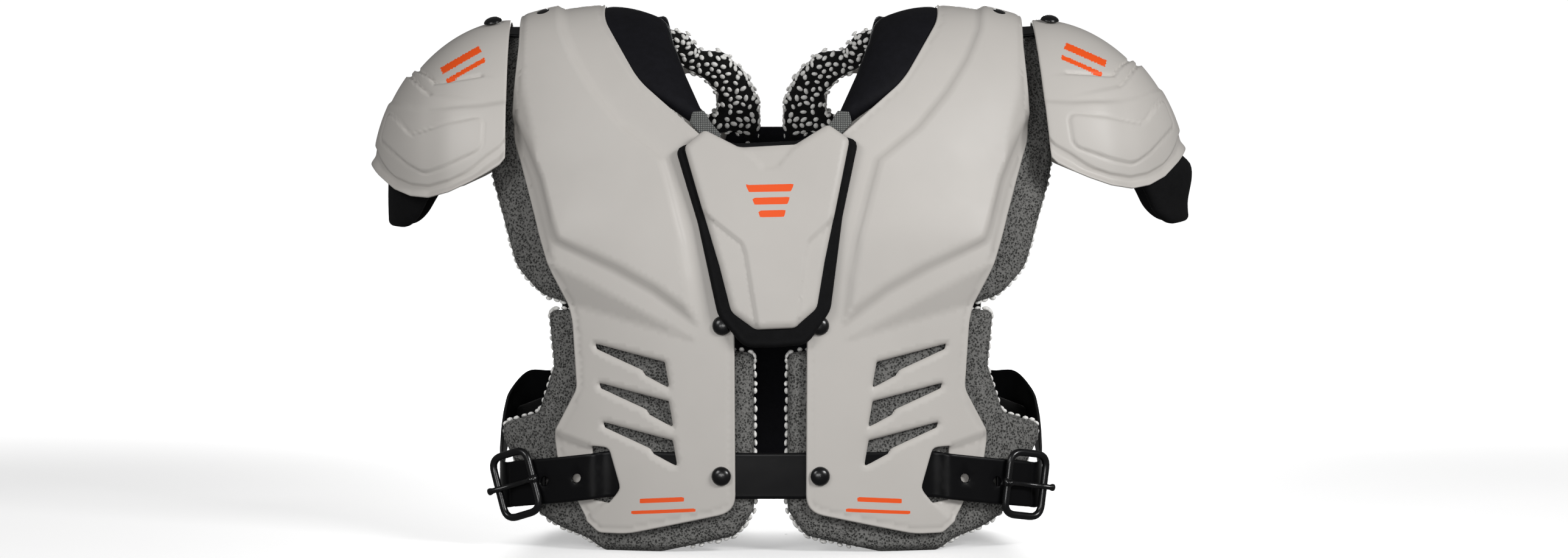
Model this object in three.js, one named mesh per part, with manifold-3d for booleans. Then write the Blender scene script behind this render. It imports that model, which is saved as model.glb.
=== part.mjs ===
// Youth football shoulder pads, standing on the lower edges of their rib pads.
// Millimetres, +Z up. The wearer faces -Y, and the wearer's left is at +X.
// The origin is at floor level, in the middle of the object.
//
// Every chest, back and shoulder layer follows one reference surface, the wall: from the side it is an
// arch, from above a shallow ellipse. A layer is a slab between two offsets from the wall, cut to its
// outline as seen from the front or the back. Positive offsets are outside the wall.
import * as THREE from "three";
import { mergeVertices } from "three/addons/utils/BufferGeometryUtils.js";
import Module from "manifold-3d";

const wasm = await Module();
wasm.setup();

// The wall
const HEIGHT = 381; // floor to the top of the arches
const SHOULDER_HALF = 180; // centre plane to an arch's outer edge
const CHEST_DEPTH = 128; // middle of the object to the chest wall's outer face
const WRAP_HALF = SHOULDER_HALF + 60; // half width of the ellipse that the wall follows from above
const CROWN_POWER = 3.4; // how square the arch is from the side
const CROWN_FLAT = 110; // centre plane to where the arch's top begins to drop outwards
const CROWN_DROP = 12; // drop of the arch's top at its outer edge

// Layers
const GAP = 0.4; // clearance between neighbouring layers
const SHELL = 2.5; // moulded plastic wall
const BELT = 2.3; // belt and strap thickness
const PAD = 12; // rib, body and spine pads
const NECK_PAD = 14;
const COLLAR_PAD = 17;
const NECK_TAB = 5;
const STERNUM_PAD = 7;
const STERNUM_PLATE = 3;

// Belts and buckles
const BELT_WIDTH = 32;
const FRONT_BELT_Z = 54; // centre of the front belt where it crosses the gap between the arches
const REAR_BELT_Z = 104; // centre of the rear belt on the back
const BUCKLE_Z = 45;
const BUCKLE_IN_FROM_SHOULDER = 2; // how far inward of the shell tip the buckle sits
const BUCKLE_ACROSS = SHOULDER_HALF - BUCKLE_IN_FROM_SHOULDER;
const BUCKLE_WIRE = 4;
const BUCKLE_LENGTH = 38;
const BUCKLE_SIDE_ROOM = 4.5; // belt edge to the inside of the buckle frame
const TONGUE = 3.4;
const BELT_HOLE = 2.2; // radius
const BELT_HOLE_PITCH = 26;
const SLOT_WIDTH = 12; // arch slot where the belt comes out

// Rivets
const RIVET_HEAD = 6.6; // radius
const RIVET_DOME = 3.6;
const RIVET_SHANK = 2.4; // radius

// Shoulder caps
const CAP_SPACING = 6; // shell tip to the cap's flat inner rim
const CAP_RIM = SHOULDER_HALF + CAP_SPACING;
const CAP_REACH = 97; // rim to the cap's outermost point
const CAP_HALF_DEPTH = 82;
const CAP_RISE = 110; // widest level to the cap's top
const CAP_BELOW_CROWN = 9; // how far the cap's top stays under the crown
const CAP_TOP = HEIGHT - CAP_BELOW_CROWN;
const CAP_POWER = 1.85; // how round the cap is
const CAP_SKIRT = 18; // widest level down to the lowest point of the edge
const CAP_TILT = { right: 0, left: 6 }; // degrees outwards about the top of the rim, as the caps hang
const CAP_STRAP_WIDTH = 20;
const FLAP = 9; // arm flap thickness
const FLAP_REACH_BELOW = 36; // cap's widest level to the flap's lower end
const FLAP_INNER = 17; // cap rim to the flap's inner edge
const FLAP_SPLAY = { right: 0, left: 14 }; // how far the flap swings out below the cap

// Grid of the reference surface
const COLUMNS_TO_EDGE = 6;
const COLUMN = SHOULDER_HALF / COLUMNS_TO_EDGE;
const LAST_COLUMN = 7; // the last grid line that a layer can reach
const ROWS = 22;
const CROWN_ROW = ROWS / 2;
const TURN_WEIGHT = 130; // millimetres of straight wall that get as many rows as one radian of bend
const FOOT_MARGIN = 10; // how far the slabs run below the floor before they are cut
const SECTION_STEPS = 300;
const BEYOND = 60; // how far cutting prisms run past what they cut
const CURVE_SEGMENTS = 3;
const SMALL_ROUND = 2; // corners up to this radius are one chamfer

// Outlines, as seen from the front or the back. Each row is a corner: across is a share of
// SHOULDER_HALF from the centre plane, up is a share of HEIGHT, round is its radius in millimetres.
const ARCH_OUTER_EDGE = [
  { across: 0.556, up: 0.033, round: 60 },
  { across: 0.667, up: 0.034, round: 6 },
  { across: 0.717, up: 0.055, round: 2 },
  { across: 0.833, up: 0.163, round: 14 },
  { across: 0.85, up: 0.21, round: 14 },
  { across: 0.753, up: 0.297, round: 14 },
  { across: 0.772, up: 0.433, round: 60 },
  { across: 0.85, up: 0.52, round: 60 },
  { across: 1.028, up: 0.756, round: 40 },
  { across: 0.992, up: 0.919, round: 40 },
  { across: 0.992, up: 1.05, round: 0 },
];
const ARCH_FRONT = [
  { across: 0.658, up: 1.05, round: 0 },
  { across: 0.658, up: 0.974, round: 25 },
  { across: 0.517, up: 0.861, round: 60 },
  { across: 0.261, up: 0.756, round: 5 },
  { across: 0.139, up: 0.394, round: 20 },
  { across: 0.136, up: 0.076, round: 15 },
  ...ARCH_OUTER_EDGE,
];
const ARCH_BACK = [
  { across: 0.658, up: 1.05, round: 0 },
  { across: 0.658, up: 0.974, round: 25 },
  { across: 0.489, up: 0.937, round: 30 },
  { across: 0.322, up: 0.917, round: 8 },
  { across: 0.189, up: 0.896, round: 12 },
  { across: 0.105, up: 0.855, round: 14 },
  { across: 0.07, up: 0.819, round: 8 },
  { across: 0.08, up: 0.394, round: 20 },
  { across: 0.136, up: 0.076, round: 15 },
  ...ARCH_OUTER_EDGE,
];
const COLLAR_WINDOW = [
  { across: 0.367, up: 0.877, round: 6 },
  { across: 0.278, up: 0.863, round: 8 },
  { across: 0.231, up: 0.842, round: 8 },
  { across: 0.225, up: 0.803, round: 5 },
  { across: 0.261, up: 0.787, round: 6 },
  { across: 0.322, up: 0.819, round: 10 },
];
const COLLAR_PAD_BACK = [
  { across: 0.433, up: 0.95, round: 8 },
  { across: 0.333, up: 0.937, round: 6 },
  { across: 0.289, up: 0.908, round: 6 },
  { across: 0.189, up: 0.907, round: 12 },
  { across: 0.094, up: 0.861, round: 14 },
  { across: 0.052, up: 0.819, round: 8 },
  { across: 0.049, up: 0.727, round: 4 },
  { across: 0.111, up: 0.727, round: 4 },
  { across: 0.144, up: 0.761, round: 6 },
  { across: 0.267, up: 0.751, round: 5 },
  { across: 0.289, up: 0.777, round: 5 },
  { across: 0.222, up: 0.798, round: 6 },
  { across: 0.217, up: 0.829, round: 8 },
  { across: 0.267, up: 0.861, round: 8 },
  { across: 0.367, up: 0.887, round: 8 },
  { across: 0.467, up: 0.919, round: 5 },
];
const BODY_OUTER_EDGE = [
  { across: 0.79, up: 0.452, round: 20 },
  { across: 0.889, up: 0.465, round: 20 },
  { across: 0.989, up: 0.515, round: 30 },
  { across: 1.094, up: 0.688, round: 60 },
  { across: 1.105, up: 0.81, round: 40 },
  { across: 1.08, up: 1.05, round: 0 },
];
const BODY_FRONT = [
  { across: 0.714, up: 1.05, round: 0 },
  { across: 0.714, up: 0.969, round: 25 },
  { across: 0.575, up: 0.842, round: 60 },
  { across: 0.36, up: 0.745, round: 8 },
  { across: 0.2, up: 0.472, round: 8 },
  { across: 0.2, up: 0.452, round: 4 },
  ...BODY_OUTER_EDGE,
];
const BODY_BACK = [
  { across: 0.714, up: 1.05, round: 0 },
  { across: 0.714, up: 0.965, round: 25 },
  { across: 0.56, up: 0.87, round: 30 },
  { across: 0.367, up: 0.777, round: 12 },
  { across: 0.311, up: 0.714, round: 8 },
  { across: 0.22, up: 0.688, round: 8 },
  { across: 0.22, up: 0.452, round: 4 },
  ...BODY_OUTER_EDGE,
];
const RIB_OUTER_EDGE = [
  { across: 0.861, up: 0.438, round: 6 },
  { across: 0.839, up: 0.336, round: 12 },
  { across: 0.9, up: 0.249, round: 6 },
  { across: 1.042, up: 0.226, round: 5 },
  { across: 1.042, up: 0.199, round: 8 },
  { across: 0.9, up: 0.063, round: 12 },
  { across: 0.822, up: 0.041, round: 10 },
  { across: 0.706, up: 0.021, round: 6 },
  { across: 0.644, up: 0, round: 4 },
  { across: 0.422, up: 0, round: 20 },
];
const RIB_FRONT = [
  { across: 0.067, up: 0.365, round: 6 },
  { across: 0.222, up: 0.37, round: 5 },
  { across: 0.256, up: 0.438, round: 5 },
  ...RIB_OUTER_EDGE,
  { across: 0.133, up: 0.031, round: 12 },
  { across: 0.064, up: 0.079, round: 10 },
];
const RIB_BACK = [
  { across: 0.22, up: 0.438, round: 5 },
  ...RIB_OUTER_EDGE,
  { across: 0.22, up: 0.02, round: 10 },
];
const NECK_FRONT = [
  { across: 0.367, up: 1.05, round: 0 },
  { across: 0.367, up: 0.95, round: 20 },
  { across: 0.336, up: 0.883, round: 20 },
  { across: 0.25, up: 0.79, round: 4 },
  { across: 0.285, up: 0.772, round: 3 },
  { across: 0.555, up: 0.852, round: 60 },
  { across: 0.7, up: 0.972, round: 25 },
  { across: 0.7, up: 1.05, round: 0 },
];
const NECK_BACK = [
  { across: 0.367, up: 1.05, round: 0 },
  { across: 0.367, up: 0.985, round: 10 },
  { across: 0.4, up: 0.962, round: 5 },
  { across: 0.62, up: 0.972, round: 10 },
  { across: 0.7, up: 0.985, round: 10 },
  { across: 0.7, up: 1.05, round: 0 },
];
const NECK_TAB_FRONT = [
  { across: 0.246, up: 0.786, round: 1 },
  { across: 0.2, up: 0.768, round: 1 },
  { across: 0.185, up: 0.748, round: 1 },
  { across: 0.262, up: 0.757, round: 1 },
  { across: 0.28, up: 0.768, round: 1 },
];
const SPINE_BACK = [
  { across: -0.19, up: 0.765, round: 12 },
  { across: -0.19, up: 0.09, round: 12 },
  { across: 0.19, up: 0.09, round: 12 },
  { across: 0.19, up: 0.765, round: 12 },
];

// Right half of the breastbone piece, before it is mirrored into a whole outline.
const STERNUM_PAD_HALF = [
  { across: 0, up: 0.743, round: 0 },
  { across: 0.115, up: 0.743, round: 4 },
  { across: 0.235, up: 0.775, round: 4 },
  { across: 0.34, up: 0.742, round: 6 },
  { across: 0.272, up: 0.604, round: 40 },
  { across: 0.215, up: 0.438, round: 18 },
  { across: 0.12, up: 0.378, round: 14 },
  { across: 0, up: 0.376, round: 0 },
];
const STERNUM_PLATE_HALF = [
  { across: 0, up: 0.734, round: 0 },
  { across: 0.108, up: 0.734, round: 4 },
  { across: 0.235, up: 0.767, round: 5 },
  { across: 0.315, up: 0.739, round: 5 },
  { across: 0.2, up: 0.525, round: 60 },
  { across: 0.163, up: 0.442, round: 10 },
  { across: 0.075, up: 0.409, round: 6 },
  { across: 0, up: 0.409, round: 0 },
];
const STERNUM_TILT = 2.5; // degrees, as the breastbone piece hangs
const STERNUM_TILT_CENTRE = 0.58; // share of HEIGHT

// Vents of the front shells. Shares of VENT_LENGTH and VENT_HEIGHT from the vent's lower inner corner.
const VENT_LENGTH = 52;
const VENT_HEIGHT = 30;
const VENT_ACROSS = 0.393; // share of SHOULDER_HALF, lower inner corner of the top vent
const VENT_UP = 0.301; // share of HEIGHT
const VENT_PITCH = 27.2;
const VENT_STEP = -2.8; // sideways shift from one vent to the next
const VENT_COUNT = 3;
const VENT = [
  { along: 1, up: 1 },
  { along: 0.06, up: 0.6 },
  { along: 0, up: 0 },
  { along: 0.32, up: 0.29 },
  { along: 0.36, up: 0.41 },
  { along: 0.975, up: 0.876 },
];

// Layers, as offsets from the wall
const BELT_OUTER = -SHELL - GAP;
const BELT_MIDDLE = BELT_OUTER - BELT / 2;
const PAD_OUTER = BELT_OUTER - BELT - GAP;
const PAD_INNER = PAD_OUTER - PAD;
const BELT_ABOVE = GAP + BELT / 2;

// Solids and meshes

// A closed three.js geometry as a manifold solid.
function solidOf(geometry) {
  const bare = geometry.index ? geometry.toNonIndexed() : geometry.clone();
  bare.deleteAttribute("normal");
  bare.deleteAttribute("uv");
  const merged = mergeVertices(bare, 1e-4);
  const corners = merged.index.array;
  const kept = [];
  for (let i = 0; i < corners.length; i += 3) {
    const [a, b, c] = [corners[i], corners[i + 1], corners[i + 2]];
    if (a !== b && b !== c && c !== a) kept.push(a, b, c);
  }
  return new wasm.Manifold(
    new wasm.Mesh({
      numProp: 3,
      vertProperties: new Float32Array(merged.attributes.position.array),
      triVerts: new Uint32Array(kept),
    }),
  );
}

// A manifold solid as a three.js geometry.
function geometryOf(solid) {
  const mesh = solid.getMesh();
  const geometry = new THREE.BufferGeometry();
  geometry.setAttribute("position", new THREE.BufferAttribute(mesh.vertProperties, mesh.numProp));
  geometry.setIndex(new THREE.BufferAttribute(mesh.triVerts, 1));
  geometry.computeVertexNormals();
  return geometry;
}

// A closed surface given as corner points of its triangles, three by three, turned right side out.
function closedSolid(points) {
  const made = solidOf(new THREE.BufferGeometry().setFromPoints(points));
  if (made.volume() > 0) return made;
  const turned = [];
  for (let i = 0; i < points.length; i += 3) turned.push(points[i], points[i + 2], points[i + 1]);
  return solidOf(new THREE.BufferGeometry().setFromPoints(turned));
}

// A solid's mirror image in the centre plane.
function mirrored(solid) {
  const corners = geometryOf(solid).scale(-1, 1, 1).toNonIndexed().attributes.position;
  return closedSolid(
    Array.from({ length: corners.count }, (_, i) =>
      new THREE.Vector3().fromBufferAttribute(corners, i),
    ),
  );
}

// Closed surface through a grid of outer points and a grid of inner points, as a solid.
function slabBetween(outer, inner) {
  const rows = outer.length;
  const columns = outer[0].length;
  const points = [];
  const quad = (a, b, c, d) => points.push(a, b, c, a, c, d);
  for (let i = 0; i + 1 < rows; i++) {
    for (let j = 0; j + 1 < columns; j++) {
      quad(outer[i][j], outer[i][j + 1], outer[i + 1][j + 1], outer[i + 1][j]);
      quad(inner[i][j], inner[i + 1][j], inner[i + 1][j + 1], inner[i][j + 1]);
    }
    const last = columns - 1;
    quad(outer[i][0], outer[i + 1][0], inner[i + 1][0], inner[i][0]);
    quad(outer[i][last], inner[i][last], inner[i + 1][last], outer[i + 1][last]);
  }
  for (let j = 0; j + 1 < columns; j++) {
    const last = rows - 1;
    quad(outer[0][j], inner[0][j], inner[0][j + 1], outer[0][j + 1]);
    quad(outer[last][j], outer[last][j + 1], inner[last][j + 1], inner[last][j]);
  }
  return closedSolid(points);
}

// Solid through closed rings of points, each with the same number of points.
function loft(rings) {
  const count = rings[0].length;
  const points = [];
  for (let i = 0; i + 1 < rings.length; i++) {
    for (let j = 0; j < count; j++) {
      const k = (j + 1) % count;
      points.push(rings[i][j], rings[i][k], rings[i + 1][k], rings[i][j], rings[i + 1][k], rings[i + 1][j]);
    }
  }
  const first = rings[0];
  const last = rings[rings.length - 1];
  for (let j = 1; j + 1 < count; j++) {
    points.push(first[0], first[j + 1], first[j], last[0], last[j], last[j + 1]);
  }
  return closedSolid(points);
}

// Shape through corners given as { x, y, round }, each rounded to its radius.
function roundedShape(corners) {
  const shape = new THREE.Shape();
  corners.forEach((corner, i) => {
    const here = new THREE.Vector2(corner.x, corner.y);
    const before = corners[(i + corners.length - 1) % corners.length];
    const after = corners[(i + 1) % corners.length];
    const back = new THREE.Vector2(before.x, before.y).sub(here);
    const ahead = new THREE.Vector2(after.x, after.y).sub(here);
    const halfAngle = Math.abs(back.angleTo(ahead)) / 2;
    const wanted = corner.round ? corner.round / Math.tan(halfAngle) : 0;
    const trim = Math.min(wanted, 0.48 * back.length(), 0.48 * ahead.length());
    const start = here.clone().addScaledVector(back.normalize(), trim);
    const end = here.clone().addScaledVector(ahead.normalize(), trim);
    if (i === 0) shape.moveTo(start.x, start.y);
    else shape.lineTo(start.x, start.y);
    if (corner.round > SMALL_ROUND) shape.quadraticCurveTo(here.x, here.y, end.x, end.y);
    else if (trim > 0) shape.lineTo(end.x, end.y);
  });
  return shape;
}

// The corners of an outline table in millimetres, turned about a point on the centre plane.
function cornersOf(outline, tilt = 0) {
  const centre = new THREE.Vector2(0, STERNUM_TILT_CENTRE * HEIGHT);
  return outline.map(({ across, up, round }) => {
    const at = new THREE.Vector2(across * SHOULDER_HALF, up * HEIGHT);
    at.rotateAround(centre, THREE.MathUtils.degToRad(tilt));
    return { x: at.x, y: at.y, round };
  });
}

// Prism of a shape drawn in X and Z, from one depth to another.
function prism(shape, fromY, toY) {
  const geometry = new THREE.ExtrudeGeometry(shape, {
    depth: toY - fromY,
    bevelEnabled: false,
    curveSegments: CURVE_SEGMENTS,
  });
  return solidOf(geometry.rotateX(Math.PI / 2).translate(0, toY, 0));
}

// Prism of a shape drawn in Y and Z, across the object.
function prismAcross(shape, fromX, toX) {
  const geometry = new THREE.ExtrudeGeometry(shape, {
    depth: toX - fromX,
    bevelEnabled: false,
    curveSegments: CURVE_SEGMENTS,
  });
  return solidOf(geometry.rotateX(Math.PI / 2).rotateZ(Math.PI / 2).translate(fromX, 0, 0));
}

// The reference surface

const archTop = (across) =>
  HEIGHT - CROWN_DROP * (Math.max(0, across - CROWN_FLAT) / (SHOULDER_HALF - CROWN_FLAT)) ** 2;
const wallDepth = (across) => CHEST_DEPTH * Math.sqrt(1 - (across / WRAP_HALF) ** 2);

// Outward unit normal of the wall.
function wallNormal(at) {
  const step = 0.01;
  const level = (x, y, z) =>
    (y / wallDepth(Math.abs(x))) ** 2 + (Math.max(0, z) / archTop(Math.abs(x))) ** CROWN_POWER;
  return new THREE.Vector3(
    level(at.x + step, at.y, at.z) - level(at.x - step, at.y, at.z),
    level(at.x, at.y + step, at.z) - level(at.x, at.y - step, at.z),
    level(at.x, at.y, at.z + step) - level(at.x, at.y, at.z - step),
  ).normalize();
}

// Points of the wall above one line of the grid, from the front foot to the back foot, closer together
// where the wall bends.
function wallSection(x) {
  const top = archTop(Math.abs(x));
  const depth = wallDepth(Math.abs(x));
  const line = [new THREE.Vector3(x, -depth, -FOOT_MARGIN)];
  for (let i = 0; i <= SECTION_STEPS; i++) {
    const turn = (Math.PI * i) / SECTION_STEPS;
    const rise = top * Math.max(0, Math.sin(turn)) ** (2 / CROWN_POWER);
    line.push(new THREE.Vector3(x, -depth * Math.cos(turn), rise));
  }
  line.push(new THREE.Vector3(x, depth, -FOOT_MARGIN));
  const marks = [0];
  for (let i = 1; i < line.length; i++) {
    const step = line[i].distanceTo(line[i - 1]);
    const bend = wallNormal(line[i]).angleTo(wallNormal(line[i - 1]));
    marks.push(marks[i - 1] + step + TURN_WEIGHT * bend);
  }
  const end = marks[marks.length - 1];
  return Array.from({ length: ROWS + 1 }, (_, row) => {
    const mark = (end * row) / ROWS;
    const i = Math.max(1, marks.findIndex((each) => each >= mark - 1e-9));
    return line[i - 1].clone().lerp(line[i], (mark - marks[i - 1]) / (marks[i] - marks[i - 1]));
  });
}

const sections = new Map();
function sectionAt(column) {
  if (!sections.has(column)) sections.set(column, wallSection(column * COLUMN));
  return sections.get(column);
}

// Slab of the wall between two offsets, over whole columns and rows of the grid.
function wallSlab(columns, rows, outer, inner) {
  const grid = (offset) => {
    const lines = [];
    for (let column = columns[0]; column <= columns[1]; column++) {
      const section = sectionAt(column).slice(rows[0], rows[1] + 1);
      lines.push(section.map((at) => at.clone().addScaledVector(wallNormal(at), offset)));
    }
    return lines;
  };
  return slabBetween(grid(outer), grid(inner));
}

// The wall's point at a distance across and a height, on the front (-1) or the back (1).
function wallPoint(x, z, side, offset = 0) {
  const share = 1 - (Math.max(0, z) / archTop(Math.abs(x))) ** CROWN_POWER;
  const at = new THREE.Vector3(x, side * wallDepth(Math.abs(x)) * Math.sqrt(Math.max(0, share)), z);
  return at.addScaledVector(wallNormal(at), offset);
}

// The wall's point on top of an arch, at a distance across and a depth.
function crownPoint(x, y, offset = 0) {
  const share = 1 - (y / wallDepth(Math.abs(x))) ** 2;
  const at = new THREE.Vector3(x, y, archTop(Math.abs(x)) * share ** (1 / CROWN_POWER));
  return at.addScaledVector(wallNormal(at), offset);
}

const DEPTH_LIMIT = CHEST_DEPTH + BEYOND;

// One layer that runs over the shoulder, cut to a front outline and a back outline.
function saddle(front, back, outer, inner) {
  const slab = wallSlab([0, LAST_COLUMN], [0, ROWS], outer, inner);
  const cutter = prism(roundedShape(cornersOf(front)), -DEPTH_LIMIT, 0.5).add(
    prism(roundedShape(cornersOf(back)), -0.5, DEPTH_LIMIT),
  );
  return slab.intersect(cutter);
}

// One layer on the front (-1) or the back (1), cut to its outline.
function wallPiece(outline, side, columns, outer, inner, tilt = 0) {
  const rows = side < 0 ? [0, CROWN_ROW] : [CROWN_ROW, ROWS];
  const reach = side < 0 ? [-DEPTH_LIMIT, 0] : [0, DEPTH_LIMIT];
  return wallSlab(columns, rows, outer, inner).intersect(
    prism(roundedShape(cornersOf(outline, tilt)), ...reach),
  );
}

// A whole outline from its right half.
function bothHalves(half) {
  const other = half
    .slice(1, -1)
    .reverse()
    .map((corner) => ({ ...corner, across: -corner.across }));
  return [...half, ...other];
}

// Belts and straps: ribbons of a thickness through stations, each with two edge points and a normal.
function ribbon(stations, thickness, grown = 0) {
  const half = thickness / 2 + grown;
  const last = stations.length - 1;
  return loft(
    stations.map(({ low, high, normal }, i) => {
      const along = high.clone().sub(low).normalize();
      const outwards = new THREE.Vector3();
      if (i === 0) outwards.subVectors(low, stations[1].low).setLength(grown);
      if (i === last) outwards.subVectors(low, stations[last - 1].low).setLength(grown);
      const bottom = low.clone().addScaledVector(along, -grown).add(outwards);
      const top = high.clone().addScaledVector(along, grown).add(outwards);
      return [
        bottom.clone().addScaledVector(normal, half),
        top.clone().addScaledVector(normal, half),
        top.clone().addScaledVector(normal, -half),
        bottom.clone().addScaledVector(normal, -half),
      ];
    }),
  );
}

function beltStation(x, z, side, offset) {
  const low = wallPoint(x, z - BELT_WIDTH / 2, side, offset);
  const high = wallPoint(x, z + BELT_WIDTH / 2, side, offset);
  return { low, high, normal: wallNormal(wallPoint(x, z, side)) };
}

const mirrorStation = ({ low, high, normal }) => ({
  low: low.clone().setX(-low.x),
  high: high.clone().setX(-high.x),
  normal: normal.clone().setX(-normal.x),
});

// The slot where the front belt comes out of the arch, across from the centre plane.
const SLOT_INNER = 0.627 * SHOULDER_HALF;
const SLOT_OUTER = SLOT_INNER + SLOT_WIDTH;
const SLOT_LEAN = 8; // how far the slot's inner edge runs inwards at belt height
const BUCKLE_INNER = BUCKLE_ACROSS - BUCKLE_LENGTH / 2 + BUCKLE_WIRE;
const FRONT_BELT_END = BUCKLE_ACROSS + 5;
const BELT_SAG = (FRONT_BELT_Z - BUCKLE_Z) / (BUCKLE_ACROSS - SLOT_INNER);

function frontBeltHeight(x) {
  return FRONT_BELT_Z - BELT_SAG * Math.max(0, Math.abs(x) - SLOT_INNER);
}

function frontBeltStations() {
  const half = [];
  for (let x = 0; x < SLOT_INNER - COLUMN / 2; x += COLUMN) {
    half.push(beltStation(x, FRONT_BELT_Z, -1, BELT_MIDDLE));
  }
  half.push(beltStation(SLOT_INNER, FRONT_BELT_Z, -1, BELT_MIDDLE));
  half.push(beltStation(SLOT_OUTER, frontBeltHeight(SLOT_OUTER), -1, BELT_ABOVE));
  const strides = 4;
  for (let i = 1; i <= strides; i++) {
    const x = SLOT_OUTER + ((FRONT_BELT_END - SLOT_OUTER) * i) / strides;
    half.push(beltStation(x, frontBeltHeight(x), -1, BELT_ABOVE));
  }
  return [...half.slice(1).reverse().map(mirrorStation), ...half];
}

// The rear belt lies on the back pads, wraps round the sides and ends inside the buckles.
const REAR_BELT_END = 0.875 * SHOULDER_HALF;
const REAR_BELT_LOWEST = BELT_ABOVE - BELT / 2 - GAP - BELT / 2;
const REAR_BELT_DROP = 8; // how much lower the rear belt is towards the back pads' outer edges
const SIDE_WRAP = [
  { past: 11, depth: 0.45, rise: 0.66 },
  { past: 13, depth: 0.22, rise: 0.5 },
  { past: 13, depth: -0.02, rise: 0.33 },
  { past: 12, depth: -0.25, rise: 0.19 },
  { past: 10.5, depth: -0.47, rise: 0.07 },
];

function rearBeltStations() {
  const half = [];
  for (let x = 0; x < SHOULDER_HALF; x += COLUMN) {
    const z = REAR_BELT_Z - REAR_BELT_DROP * (Math.min(x / SHOULDER_HALF, 0.75) / 0.75) ** 2;
    half.push(beltStation(x, z, 1, BELT_MIDDLE));
  }
  for (const { past, depth, rise } of SIDE_WRAP) {
    const z = BUCKLE_Z + (REAR_BELT_Z - BUCKLE_Z) * rise;
    const at = new THREE.Vector3(SHOULDER_HALF + past, depth * CHEST_DEPTH, z);
    half.push({
      low: at.clone().setZ(z - BELT_WIDTH / 2),
      high: at.clone().setZ(z + BELT_WIDTH / 2),
      normal: new THREE.Vector3(1, depth * 0.9, 0).normalize(),
    });
  }
  const strides = 3;
  for (let i = 0; i <= strides; i++) {
    const x = 1.04 * SHOULDER_HALF + ((REAR_BELT_END - 1.04 * SHOULDER_HALF) * i) / strides;
    half.push(beltStation(x, frontBeltHeight(x), -1, REAR_BELT_LOWEST));
  }
  return [...half.slice(1).reverse().map(mirrorStation), ...half];
}

// A straight pin hole through the belt, across its thickness.
function beltHole(x) {
  const z = frontBeltHeight(x);
  const hole = new THREE.CylinderGeometry(BELT_HOLE, BELT_HOLE, BELT * 4, 8);
  return placed(hole, wallPoint(x, z, -1, BELT_ABOVE), wallNormal(wallPoint(x, z, -1)));
}

// A geometry whose axis is +Y, placed with that axis along a direction.
function placed(geometry, at, direction) {
  const turn = new THREE.Quaternion().setFromUnitVectors(new THREE.Vector3(0, 1, 0), direction);
  return solidOf(geometry.applyQuaternion(turn).translate(at.x, at.y, at.z));
}

// Rivets: a domed head outside the wall and a shank into it.
function rivetProfile(shank, grown) {
  return new THREE.LatheGeometry(
    [
      new THREE.Vector2(0, -shank - grown),
      new THREE.Vector2(RIVET_SHANK + grown, -shank - grown),
      new THREE.Vector2(RIVET_SHANK + grown, -grown),
      new THREE.Vector2(RIVET_HEAD + grown, -grown),
      new THREE.Vector2(0.8 * RIVET_HEAD + grown, 0.66 * RIVET_DOME + grown),
      new THREE.Vector2(0, RIVET_DOME + grown),
    ],
    8,
  );
}

function rivet(at, normal, grown = 0) {
  const seat = at.clone().addScaledVector(normal, GAP);
  return placed(rivetProfile(SHELL + BELT + 2 * GAP, grown), seat, normal);
}

function wallRivet(x, z, side, grown) {
  const at = wallPoint(x, z, side);
  return rivet(at, wallNormal(at), grown);
}

// Shoulder caps

const CAP_MIDDLE = CAP_TOP - CAP_RISE; // level where the cap is widest

// Point of the cap's surface. turn runs from front to back and rise from the widest level to the top,
// both in quarter turns. below is how far the point lies under the widest level.
function capPoint(turn, rise, below, offset, tilt, splay) {
  const power = 2 / CAP_POWER;
  const quarter = Math.PI / 2;
  const ring = Math.max(0, Math.cos(rise * quarter)) ** power;
  const out = Math.max(0, Math.cos(turn * quarter)) ** power * ring;
  const side = Math.sign(turn) * Math.abs(Math.sin(turn * quarter)) ** power * ring;
  const up = Math.sin(rise * quarter) ** power;
  const slope = CAP_POWER - 1;
  const normal = new THREE.Vector3(
    out ** slope / CAP_REACH,
    (Math.sign(side) * Math.abs(side) ** slope) / CAP_HALF_DEPTH,
    up ** slope / CAP_RISE,
  ).normalize();
  const at = new THREE.Vector3(
    CAP_RIM + CAP_REACH * out + splay * out,
    CAP_HALF_DEPTH * side,
    CAP_MIDDLE + CAP_RISE * up - below,
  ).addScaledVector(normal, offset);
  at.x = Math.max(at.x, CAP_RIM);
  const pivot = new THREE.Vector3(CAP_RIM, 0, CAP_TOP);
  const about = new THREE.Vector3(0, 1, 0);
  return at.sub(pivot).applyAxisAngle(about, -THREE.MathUtils.degToRad(tilt)).add(pivot);
}

const CAP_TURNS = 10;
const CAP_RISES = 6;

// Slab of the cap's surface. skirt holds levels under the widest one, each with how far it splays out.
function capSlab(outer, inner, skirt, tilt) {
  const levels = [...skirt.map((level) => ({ rise: 0, ...level }))];
  for (let i = 0; i <= CAP_RISES; i++) levels.push({ rise: i / CAP_RISES, below: 0, splay: 0 });
  const grid = (offset) =>
    levels.map(({ rise, below, splay }) =>
      Array.from({ length: CAP_TURNS + 1 }, (_, j) =>
        capPoint((2 * j) / CAP_TURNS - 1, rise, below, offset, tilt, splay),
      ),
    );
  return slabBetween(grid(outer), grid(inner));
}

// The cap's lower edge as seen from the front: lowest in the middle, higher at both ends.
const CAP_EDGE = [
  { out: -0.4, up: 1.3, round: 0 },
  { out: -0.4, up: 0.06, round: 0 },
  { out: 0.03, up: 0.06, round: 10 },
  { out: 0.25, up: -0.06, round: 40 },
  { out: 0.55, up: -0.18, round: 60 },
  { out: 0.8, up: -0.1, round: 60 },
  { out: 1.04, up: 0.06, round: 0 },
  { out: 1.5, up: 0.06, round: 0 },
  { out: 1.5, up: 1.3, round: 0 },
];

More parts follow.
